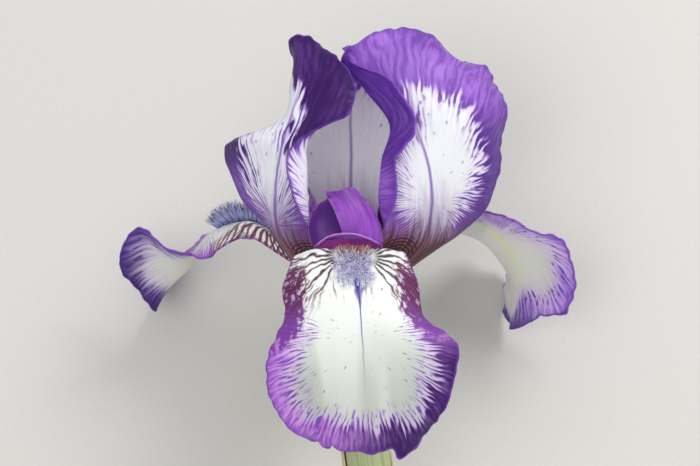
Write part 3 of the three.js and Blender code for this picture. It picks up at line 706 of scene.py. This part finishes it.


# Petals are flesh of clear cells under a skin that colour fills: white where the cells hold only
# air and water, violet where the skin is stained, and painted shade darkens it along its veins.
# Their finest veins are drawn a little coarser than real ones, so that they show.

def fall_face(name, seed, side_fall=True, dusk=None):
    """Upper face of a fall: cool white, a violet plicata margin and a maroon-veined haft."""
    material, node = new_material(name)
    margin, relief = violet_margin(node, "#dcaaf0", "#a25ccc", "#7f46b0", dusk=dusk, seed=seed,
                                   dots=0.6, halo=0.65, stroke_reach=7.5)
    _, along, _ = places(node, "blade")
    marks = haft_layers(node, "#34142f", "#5e0f4e", "#7a349e")
    if side_fall:
        marks.append(haft_stripes(node, "#7d3a4c"))
    marks.append((midrib_line(node, 43, 54, 80, 2.4, 0.3), "#4f37a6"))
    drape = vein_grain(node, "blade", 8, 40, seed + 2.2)
    grey = overlap(node, (drape, 0.35, 0.62, 0.3, 0.95), (along, 50, 76))
    # Painted shade on the white: greyer down the lower blade, which curves away from the light, darker along
    # the veins, and grey in soft folds.
    white = ["#f6f8f0", ((along, 52, 84, 0.0, 0.75), "#ccd1c6"), (overlap(node, relief, 0.35), "#e6ece4"),
             (grey, "#bcc3b6")]
    close_material(node, white + margin + marks, bump_height=0.10,
                   bump=node("Math", [drape, 4.0, relief], **TIMES_PLUS), **PETAL_FLESH)
    return material


def fall_back(name, pale, deep, rim, dusk, seed):
    """Underside of a fall: greenish white, with a yellow-green midrib and a blurred violet margin."""
    material, node = new_material(name)
    margin, relief = violet_margin(node, pale, deep, rim, fade=3.6, comb_depth=0.4, halo=0.45, dots=0,
                                   stroke_reach=1.5, dusk=dusk, seed=seed)
    midrib = midrib_line(node, 5, 50, 88, 3.2, 2.2, 0.95)
    shade = overlap(node, relief, 0.3)
    close_material(node, ["#dfe2d8", (shade, "#c4c9bc"), (midrib, "#e6eab2")] + margin,
                   bump=relief, bump_height=0.12, **PETAL_FLESH)
    return material


def standard_skin(name, ground, pale, deep, seed, rib="#7f55b0", **margin_ways):
    """A standard's face: white heart, violet flame down from its tip, purple midrib."""
    material, node = new_material(name)
    margin, relief = violet_margin(node, pale, deep, deep, pitch=1.5, seed=seed,
                                   **{"fade": 1.8, "comb_depth": 2.0, **margin_ways})
    midrib = midrib_line(node, 6, 50, 99, 1.25, 0.8, 0.9)
    shade = overlap(node, relief, 0.3)
    close_material(node, [ground, (shade, "#dcd8ee")] + margin + [(midrib, rib)]
                   + claw_layers(node, "#77588a", "#7c4c48", "#34141c"),
                   bump=relief, bump_height=0.10, **PETAL_FLESH)
    return material


# Where violet turns deeper, on some petals as painted shade: its colour, and its soft steps across
# and along the petal.
ANYWHERE = (-100, -90)
DARK_TIP = ("#3c1a6a", ANYWHERE, (76, 92))

# The face and the back of each petal.
SKINS = {
    "fall_front": (
        # Painted shade: the front fall's violet deepens on its lower right, where it turns away from the
        # light.
        fall_face("iris fall, front", 0.0, side_fall=False, dusk=("#3a1064", (-16, 10), (50, 72))),
        fall_back("iris fall, front, underside", "#8064b4", "#54388c", "#45266f", DARK_TIP, 2.0)),
    "fall_left": (
        fall_face("iris fall, left", 4.0),
        fall_back("iris fall, left, underside", "#8568b8", "#4c2c88", "#4a2880", DARK_TIP, 2.0)),
    "fall_right": (
        fall_face("iris fall, right", 8.0),
        fall_back("iris fall, right, underside", "#dcc2fa", "#a078d6", "#5f3a98",
                  ("#35125e", (-7, 3), (76, 92)), 12.0)),
    "standard_left": (
        # Painted shade: the left standard's violet darkens over its upper half, which faces away from the
        # light.
        standard_skin("iris standard, left", "#f6f4ff", "#8a4ebc", "#5a2a90", 1.0, comb_depth=3.0,
                      dusk=("#36085c", ANYWHERE, (46, 60)), stroke_reach=7.0, halo=0.8, widen=3.2),
        standard_skin("iris standard, left, inside", "#f6f0ff", "#b088dc", "#7a43b4", 3.0,
                      dots=0.1, stroke_reach=3.0, widen=-6.0)),
    "standard_right": (
        standard_skin("iris standard, right", "#f9f7fe", "#a873d6", "#7340a8", 2.0,
                      dusk=("#512688", (8, 18), (60, 72, 0.9, 0.0)), halo=0.6, stroke_reach=6.0),
        # Painted shade: the inside's violet darkens from halfway up, where its margin rolls over and turns
        # from the light.
        standard_skin("iris standard, right, inside", "#ece8f6", "#b67ee0", "#7a3fb0", 5.0,
                      dusk=("#52208c", ANYWHERE, (44, 60)), widen=3.0)),
    "standard_back": (
        standard_skin("iris standard, back", "#e8e6f2", "#b98ae0", "#8750bd", 6.0),
        # The inside's grey-violet midrib line is partly painted shade in its groove.
        standard_skin("iris standard, back, inside", "#fcffff", "#a873d6", "#7c46b4", 7.0,
                      dots=0.08, stroke_reach=2.0, widen=-3.0, rib="#8f86b0")),
}
petal_points = {name: make_petal(name, shape, *SKINS[name]) for name, shape in PETALS.items()}


# ---- beards -------------------------------------------------------------------------------------

BEARD_SPAN = (0.17, 0.48)       # shares of the fall's length
BEARD_HALF_WIDTH = 0.13         # share of its breadth
HAIR_THICKNESS = 0.34           # real hairs are about half of this, too fine to show


def make_hair():
    """Mesh data of one beard hair, 1 mm long and 1 mm thick: a stalk that narrows to its tip."""
    mesh = bmesh.new()
    bmesh.ops.create_cone(mesh, segments=5, radius1=0.5, radius2=0.12, depth=1, cap_ends=True)
    bmesh.ops.translate(mesh, vec=(0, 0, 0.5), verts=mesh.verts)
    for height in (0.4, 0.75):
        bmesh.ops.bisect_plane(mesh, geom=mesh.verts[:] + mesh.edges[:] + mesh.faces[:],
                               plane_co=(0, 0, height), plane_no=(0, 0, 1))
    return mesh_data("hair", mesh)


def beard_breadth(reach):
    """The beard's half width at a share of its length: it widens, then rounds off."""
    return BEARD_HALF_WIDTH * float(0.5 + 0.5 * smooth(reach, 0.3, 0.7) - 0.3 * smooth(reach, 0.85, 1))


def hair_growth(reach):
    """0 where hairs are shortest, by the throat, and 1 where they are longest, short of the end."""
    return float(smooth(reach, 0.35, 0.75) - 0.45 * smooth(reach, 0.8, 1))


def make_beard(place, count, seed, hair_lengths, droop, skin):
    """A beard: hairs on the fall's midline, taller at its outer end, where they droop onward."""
    draw = random.Random(seed)
    fall = f"fall_{place}"
    points = petal_points[fall]
    normals = grid_normals(points) * PETALS[fall]["side"]
    along, across = points.shape[0] - 1, points.shape[1] - 1
    first, last = BEARD_SPAN
    short, long = hair_lengths
    hair = make_hair()
    mesh = bmesh.new()
    facts = []
    for _ in range(count):
        reach = draw.random() ** 0.8
        aside = draw.uniform(-1, 1)
        i = round((first + (last - first) * reach) * along)
        j = round((0.5 + beard_breadth(reach) * aside) * across)
        onward = Vector(points[i + 1, j] - points[i - 1, j]).normalized()
        sideways = Vector(points[i, j + 1] - points[i, j - 1]).normalized()
        lean = (Vector(normals[i, j]) + onward * (droop * reach * reach + draw.uniform(-0.3, 0.4))
                + sideways * (0.6 * aside + draw.uniform(-0.35, 0.35)))
        length = (short + (long - short) * hair_growth(reach)) * draw.uniform(0.7, 1.1)
        stand = stood(points[i, j], lean, (HAIR_THICKNESS, HAIR_THICKNESS, length))
        hair.transform(stand)
        mesh.from_mesh(hair)
        hair.transform(stand.inverted())
        facts.append((reach, draw.random()))
    put(mesh)
    piece = add_piece(f"beard_hairs_{place}", mesh, [skin], f"beard_{place}")
    heights = [vert.co.z for vert in hair.vertices]
    values = np.zeros((count, len(heights), 3), np.float32)
    values[..., 0] = heights
    values[..., 1:] = np.array(facts)[:, None, :]
    piece.data.attributes.new("hair", "FLOAT_VECTOR", "POINT").data.foreach_set("vector", values.ravel())


def beard_skin(name, body, foot_colour, tip_colour, tipped, golden):
    """Beard hairs: soft and matt, golden up to a share of the beard; some are tipped with violet.

    The hair field gives the height up the hair, its share of the beard's length, and its chance.
    """
    material, node = new_material(name)
    height, reach, chance = places(node, "hair")
    inside = node("Math", [chance, 0.2, reach], **TIMES_PLUS)
    tip = overlap(node, (height, 0.55, 0.95), (chance, 0.95 - tipped, 1.0 - tipped))
    close_material(node, [
        body, ((height, 0.0, 0.55, 0.85, 0.0), foot_colour),
        ((inside, golden, golden + 0.16, 1.0, 0.0), "#a8742c"), (tip, tip_colour),
    ], roughness=0.6, subsurface_weight=0.2, subsurface_scale=0.0006)
    return material


# Lit and shaded copies of one hair skin: the paler one is painted sunlight, for the front beard; the darker
# blue-grey one is painted shade, for the side beards.
painted_sunlit_beard = beard_skin("iris beard hair, sunlit", "#f6f3ff", "#b6aeff", "#5f50a4", 0.2, 0.64)
dusky_beard = beard_skin("iris beard hair, blue-grey", "#bcc2ea", "#8a90c4", "#2f2452", 0.5, 0.3)
# Each beard: its count of hairs, a seed, its shortest and longest hairs, how far they droop, and
# their skin, painted as sunlit on the front one and shaded on the side ones.
BEARDS = {
    "front": (1000, 11, (1.1, 3.6), 0.9, painted_sunlit_beard),
    "left": (1200, 12, (2.6, 6.6), 0.5, dusky_beard),
    "right": (1200, 13, (1.6, 3.6), 0.5, dusky_beard),
}
for place, ways in BEARDS.items():
    make_beard(place, *ways)


# ---- style arms and stamens ---------------------------------------------------------------------

def crest_skin(name, body, deep, edge_colour):
    """Crests and back of a style arm: violet, finely veined, paler on their frilled edge."""
    material, node = new_material(name)
    _, along, inward, lobe, _, _ = places(node, "blade", "lobe")
    vein = vein_grain(node, "blade", 0.8, 9, 1.7, 2.0)
    patch = vein_grain(node, "blade", 5, 8, 6.2)
    # The lobe value darkens the colour; on the far crest it is painted shade.
    tone = node("Math", [patch, 0.9, node("Math", [vein, lobe], **PLUS)], **TIMES_PLUS)
    close_material(node, [
        body, ((tone, 0.75, 1.5), deep), ((along, 9, 15, 0.0, 0.35), deep),
        ((inward, 0.0, 0.35, 0.4, 0.0), edge_colour),
    ], bump=vein, bump_height=0.12, **{**PETAL_FLESH, "roughness": 0.38})
    return material


def throat_skin(name):
    """Underside of a style arm: wet and magenta down in the throat, with a violet lip at its end and a
    painted highlight along its edge.
    """
    material, node = new_material(name)
    _, along, _ = places(node, "blade")
    vein = vein_grain(node, "blade", 1.0, 12, 4.4, 2.0)
    close_material(node, [
        "#c04fae", ((vein, 0.4, 0.65, 0.0, 0.5), "#9c3f98"), ((along, 6, 20, 1.0, 0.0), "#a0506c"),
        # The pale line at the lip's very end is a painted highlight.
        ((along, 30.0, 33.0, 0.0, 0.8), "#9a58bc"), ((along, 33.7, 34.4, 0.0, 0.5), "#c79ae0"),
    ], bump=vein, bump_height=0.1, **{**PETAL_FLESH, "roughness": 0.28})
    return material


def anther_skin(name):
    """Anthers and filaments: cream, and floury with pollen, its grains drawn coarse enough to show."""
    material, node = new_material(name)
    pollen = node("TexNoise", {"Vector": node("TexCoord", pick=3), "Scale": 1 / (0.5 * MM),
                               "Detail": 3.0, "Roughness": 0.7})
    close_material(node, ["#d9cfa8", ((pollen, 0.35, 0.65), "#f4edcf")], bump=pollen, bump_height=0.15,
                   roughness=0.85, subsurface_weight=0.2, subsurface_scale=0.0008)
    return material


CREST_SKIN = crest_skin("iris style crest", "#9a50c0", "#521878", "#b98ae0")
STRAP_SKINS = [throat_skin("iris style arm, underside"),
               crest_skin("iris style arm, back", "#a070cc", "#6a3fa0", "#b48cd8")]
ANTHER_SKIN = anther_skin("iris anther, pollen-dusted")

FILAMENT = [[0, 0.4, 3.6], [0, 5, 6], [0, 9, 9]]
ANTHER = [[0, 8.3, 8.4], [0, 13, 12.6], [0, 17.5, 17.2]]
CREST_WAVE = {"height": 0.35, "tip_height": 0.3, "waves": 3, "phase": 0.7, "crimp": 0.22,
              "crimp_length": 2.6, "scallop": 0.3}
STRAP_WAVE = {**CREST_WAVE, "height": 0.1, "tip_height": 0.1, "crimp": 0.08, "scallop": 0.2}
# Each part of an arm: its net, how deep its colour is (on the far crest, painted shade), its waves
# and its first material.
STYLE_PARTS = (
    (STYLE_STRAP, 0.1, STRAP_WAVE, 2),
    (CREST_NEAR, 0.0, CREST_WAVE, 0),
    (CREST_FAR, 0.75, {**CREST_WAVE, "phase": 2.3}, 0),
)
ARM_LEAN = math.radians(11)     # the axis that the arms stand round leans to the flower's face
ARM_AXIS = Vector((0, math.cos(ARM_LEAN), math.sin(ARM_LEAN)))


def rod(mesh, path, radii, flatten=1.0, rings=16):
    """Add a closed round rod along a path to the bmesh, with its own radius at each share."""
    centre = spline(np.array(path, float), rings)
    ring = bmesh.ops.create_circle(mesh, segments=12, radius=1, cap_ends=True)["verts"]
    cap = [ring[0].link_faces[0]]
    slopes = np.gradient(centre, axis=0)
    stands = [stood(point, slope, (radius, radius * flatten, 1))
              for point, slope, radius in zip(centre, slopes, radii(np.linspace(0, 1, rings + 1)))]
    bmesh.ops.transform(mesh, matrix=stands[0], verts=ring)
    for before, after in zip(stands, stands[1:]):
        made = bmesh.ops.extrude_face_region(mesh, geom=cap)["geom"]
        moved = [item for item in made if isinstance(item, bmesh.types.BMVert)]
        bmesh.ops.transform(mesh, matrix=after @ before.inverted(), verts=moved)
        cap = [item for item in made if isinstance(item, bmesh.types.BMFace)]
    bmesh.ops.recalc_face_normals(mesh, faces=mesh.faces)


def make_style_arm(arm, place):
    """A style arm: a strap that arches over its fall, with two frilled crests at its end."""
    whole = bmesh.new()
    for net, lobe, wave, skin in STYLE_PARTS:
        points = ruffled(net_surface(net, 44, 36), wave)
        part = grid_sheet(points, -1, {"blade": np.stack(grid_places(points, 0.6), axis=-1),
                                       "lobe": np.full(points.shape, lobe) * [1, 0, 0]})
        for face in part.faces:
            face.material_index = skin
        whole.from_mesh(mesh_data("style arm part", part))
    put(whole, place)
    skins = [CREST_SKIN, CREST_SKIN, *STRAP_SKINS]
    thicken(add_piece(f"style_crests_{arm}", whole, skins, f"style_arm_{arm}"))


def make_stamen(arm, place):
    """A stamen: a thin filament that carries a long, flattened anther."""
    mesh = bmesh.new()
    rod(mesh, FILAMENT, lambda t: 0.5 - 0.1 * t)
    rod(mesh, ANTHER, lambda t: 0.35 + 0.65 * np.sin(np.pi * np.clip(t, 0.02, 0.98)) ** 0.4, 0.7)
    put(mesh, place)
    add_piece(f"anther_{arm}", mesh, [ANTHER_SKIN], f"stamen_{arm}")


# Each arm's turn from the front one, and its size beside that.
for arm, turn, scale in (("front", 0, 1), ("left", -108, 0.86), ("right", 118, 0.92)):
    place = FLOWER @ Matrix.Rotation(math.radians(turn), 4, ARM_AXIS) @ Matrix.Scale(scale, 4)
    make_style_arm(arm, place)
    make_stamen(arm, place)


# ---- stalk --------------------------------------------------------------------------------------

# Radii, and depths below the rim.
TUBE = {"top": 0.2, "rim": 6.2, "neck": 3.6, "neck_from": 5, "length": 17}
OVARY = {"radius": 5, "from": 20, "to": 40, "pedicel": 3.3, "end": 50}
STEM = {"radius": 3.9, "node": 4.4, "end": 108}
TOUCH_GAP = 0.3
BRACT_FOOT = 51.5
BRACT_WRAP = (94, 14)           # degrees to each side that a spathe wraps, at its foot and tip
# Shares of a spathe's length at which its net has a row; they crowd where it clasps the stem.
BRACT_ROWS = (0, 0.06, 0.15, 0.3, 0.5, 0.7, 0.86, 1)


def turned(profile, lobes=None):
    """A bmesh turned round the stalk's axis from (radius, depth below the rim) pairs."""
    mesh = bmesh.new()
    verts = [mesh.verts.new((radius, -depth, 0)) for radius, depth in profile]
    edges = [mesh.edges.new(pair) for pair in zip(verts, verts[1:])]
    bmesh.ops.spin(mesh, geom=verts + edges, cent=(0, 0, 0), axis=(0, 1, 0), angle=2 * math.pi,
                   steps=72, use_merge=True)
    bmesh.ops.remove_doubles(mesh, verts=mesh.verts, dist=1e-4)
    if lobes:
        for vert in mesh.verts:
            swell = 1 + lobes(math.atan2(vert.co.z, vert.co.x), -vert.co.y)
            vert.co.x *= swell
            vert.co.z *= swell
    bmesh.ops.recalc_face_normals(mesh, faces=mesh.faces)
    return mesh


def closed_profile(corners, steps):
    """A smooth profile through (radius, depth) corners, closed to the axis at both ends."""
    curve = spline(np.array(corners, float), steps)
    return [(0, corners[0][1]), *map(tuple, curve), (0, corners[-1][1])]


def ovary_lobes(angle, depth):
    """Six shallow ribs down the ovary."""
    starts, ends = OVARY["from"], OVARY["to"] - 4
    on_ovary = float(smooth(depth, starts, starts + 5) * (1 - smooth(depth, ends, ends + 5)))
    return -0.07 * on_ovary * (0.5 - 0.5 * math.cos(6 * angle)) ** 2


def stalk_skin(name, ground, streak_colour, blush, rib_width, roughness=0.42):
    """Smooth green skin with a waxy bloom: fine streaks run down it, and a blush comes and goes."""
    material, node = new_material(name)
    place = node("TexCoord", pick=3)
    lean = node("Mapping", {0: place, "Rotation": STALK.inverted().to_euler()})
    ribs = 1 / (rib_width * MM)
    fine = node("VectorMath", [lean, (ribs, 1 / (40 * MM), ribs)], **TIMES)
    streaks = node("TexNoise", {"Vector": fine, "Scale": 1.0, "Detail": 3.0, "Roughness": 0.6})
    cloud = node("TexNoise", {"Vector": place, "Scale": 1 / (14 * MM), "Detail": 3.0})
    wax = node("TexNoise", {"Vector": place, "Scale": 1 / (1.2 * MM), "Detail": 4.0})
    shine = overlap(node, (wax, 0.35, 0.65, roughness - 0.06, roughness + 0.12))
    close_material(node, [
        ground, ((streaks, 0.4, 0.68, 0.0, 0.75), streak_colour), ((cloud, 0.45, 0.75, 0.0, 0.5), blush),
        ((wax, 0.45, 0.75, 0.0, 0.3), "#dfe6cc"),
    ], bump=streaks, bump_height=0.12, roughness=shine, subsurface_weight=0.15, subsurface_scale=0.001)
    return material


def pith_skin(name):
    """The cut end of the stem: a moist pale pith with darker strands standing in it."""
    material, node = new_material(name)
    strands = node("TexVoronoi", {"Vector": node("TexCoord", pick=3), "Scale": 1 / (0.9 * MM)})
    close_material(node, ["#dbe2b4", ((strands, 0.1, 0.32, 0.9, 0.0), "#7f9458")], bump=strands,
                   bump_height=0.15, roughness=0.35, subsurface_weight=0.3, subsurface_scale=0.001)
    return material


def spathe_skin(name, seed):
    """A spathe: a green sheath with close parallel veins that dries papery and tan at its edge."""
    material, node = new_material(name)
    _, along, inward = places(node, "blade")
    veins = vein_grain(node, "blade", 0.9, 60, seed, 2.0)
    ragged = vein_grain(node, "blade", 3, 7, seed + 4.0, 3.0)
    edge = node("Math", [ragged, -6.0, inward], **TIMES_PLUS)
    tip = node("Math", [ragged, 12.0, along], **TIMES_PLUS)
    close_material(node, [
        "#bcc594", ((veins, 0.42, 0.62, 0.0, 0.7), "#94a66c"), ((edge, -3.2, -0.6, 0.95, 0.0), "#d8cba4"),
        ((tip, 36, 44, 0.0, 0.8), "#b79f78"), ((along, 0, 7, 0.9, 0.0), "#c4c294"),
    ], bump=veins, bump_height=0.2, roughness=0.55, subsurface_weight=0.25, subsurface_scale=0.001)
    return material


def make_ovary():
    """The perianth tube, the ribbed ovary and the short pedicel under it, grown as one."""
    wide, full_from, full_to = OVARY["radius"], OVARY["from"], OVARY["to"]
    mesh = turned(closed_profile([
        (TUBE["rim"], TUBE["top"]), (TUBE["rim"] - 0.5, 1.5), (TUBE["neck"], TUBE["neck_from"]),
        (TUBE["neck"], TUBE["length"]), (wide - 0.5, full_from + 1.5), (wide, full_from + 6),
        (wide, full_to - 5), (wide - 0.8, full_to), (OVARY["pedicel"], full_to + 4),
        (OVARY["pedicel"], OVARY["end"] - TOUCH_GAP),
    ], 90), ovary_lobes)
    put(mesh, STALK)
    skin = stalk_skin("iris ovary skin", "#9aae6a", "#7f9a54", "#b7b98a", 0.8)
    add_piece("ovary", mesh, [skin], "ovary_and_tube")


def make_stem():
    """The stem, with the swollen node that the spathes clasp, cut square at its end."""
    radius, node_radius, top = STEM["radius"], STEM["node"], OVARY["end"]
    mesh = turned(closed_profile([
        (node_radius - 0.5, top), (node_radius, top + 1.5), (node_radius, top + 3.5),
        (radius, top + 7), (radius, STEM["end"] - 20), (radius, STEM["end"]),
    ], 60))
    for face in mesh.faces:
        if face.calc_center_median().y < 0.1 - STEM["end"]:
            face.material_index = 1
    put(mesh, STALK)
    skin = stalk_skin("iris stem skin", "#c4c294", "#a2aa72", "#d0cca4", 0.6)
    add_piece("cut_stem", mesh, [skin, pith_skin("iris stem pith, cut")], "stem")


def bract_net(facing, radius, length):
    """A sheathing bract: a channel that clasps the stem's node, and narrows to a pointed tip."""
    net = []
    foot = radius - 1
    clasp = foot - STEM["node"] - SHEET
    foot_wrap, tip_wrap = BRACT_WRAP
    for share in BRACT_ROWS:
        swell = foot + smooth(share, 0, 0.3) - 1.6 * smooth(share, 0.6, 1)
        drawn_in = clasp * (1 - smooth(share, 0, 0.2))
        half_angle = (foot_wrap - tip_wrap) * (1 - share ** 4) + tip_wrap
        row = []
        for edge in EDGES:
            angle = math.radians(facing + half_angle * edge)
            height = length * share * (1 - 0.08 * edge * edge) - BRACT_FOOT
            girth = swell - drawn_in * (1 - edge ** 4)
            row += [girth * math.cos(angle), height, girth * math.sin(angle)]
        net.append(row)
    return net


def make_spathe(name, facing, radius, length, seed):
    """One spathe, a thin sheath round the ovary."""
    points = net_surface(bract_net(facing, radius, length), 70, 60)
    mesh = grid_sheet(points, 1, {"blade": np.stack(grid_places(points, 0.1), axis=-1)})
    put(mesh, STALK)
    skin = spathe_skin(f"iris spathe, {name}", seed)
    thicken(add_piece(f"spathe_{name}_leaf", mesh, [skin], f"spathe_{name}"))


make_ovary()
make_stem()
# Each spathe: the way it faces round the stalk, its radius, its length and its veins' seed.
make_spathe("outer", 250, 7, 38, 1.5)
make_spathe("inner", 70, 6, 43, 6.5)


# ---- table, light and camera --------------------------------------------------------------------

def paper_skin(name):
    """Matt paper sweep: off-white, with a tooth of fibres drawn coarse enough to show, and no shine."""
    material, node = new_material(name)
    fibres = node("TexNoise", {"Vector": node("TexCoord", pick=3), "Scale": 1 / (1.1 * MM), "Detail": 3.0})
    close_material(node, ["#d5d3cc", (fibres, "#dddbd5")], bump=fibres, bump_height=0.03, roughness=0.9)
    return material


def lay_table():
    """A wide sheet of paper at the height the flower lies on."""
    mesh = bmesh.new()
    bmesh.ops.create_grid(mesh, x_segments=8, y_segments=8, size=1.5)
    data = mesh_data("table", mesh)
    data.materials.append(paper_skin("matt paper sweep"))
    in_scene("table", data)


VIEW_CENTRE = (-0.56, 27.2)     # what the camera looks at, in the flower's frame
VIEW_DISTANCE = 1500
VIEW_WIDTH = 196                # the width of the picture at the flower, in millimetres
SENSOR = 36


def aim_camera():
    """A long lens that looks straight at the flower's face."""
    data = bpy.data.cameras.new("camera")
    data.sensor_width = SENSOR
    data.lens = SENSOR * VIEW_DISTANCE / VIEW_WIDTH
    data.clip_end = 10
    camera = in_scene("camera", data)
    camera.matrix_world = FLOWER @ Matrix.Translation(Vector((*VIEW_CENTRE, VIEW_DISTANCE)) * MM)
    bpy.context.scene.camera = camera


# A large soft window of light high on the right, a weaker one low on the left, and a sheet of
# light near the camera that reaches in among the petals: the way to each, its size and its power.
LIGHTS = {
    "window": ((0.45, 0.53, 0.73), 0.4, 3.7),
    "fill": ((-0.35, -0.3, 0.9), 0.6, 1.85),
    "front_sheet": ((-0.05, -0.28, 0.96), 0.5, 0.75),
}
LIGHT_DISTANCE = 0.9


def hang_lights():
    """The three soft lights, and the pale surroundings that fill the shadows."""
    for name, (towards, size, power) in LIGHTS.items():
        data = bpy.data.lights.new(name, "AREA")
        data.shape = "DISK"
        data.size = size
        data.energy = power
        light = in_scene(name, data)
        direction = Vector(towards).normalized()
        light.location = direction * LIGHT_DISTANCE
        light.rotation_euler = direction.to_track_quat("Z", "Y").to_euler()
    world = bpy.data.worlds.new("soft studio")
    world.use_nodes = True
    background = world.node_tree.nodes["Background"]
    background.inputs["Color"].default_value = srgb("#eef0f5")
    background.inputs["Strength"].default_value = 0.58
    bpy.context.scene.world = world
    bpy.context.scene.view_settings.view_transform = "Standard"


lay_table()
aim_camera()
hang_lights()
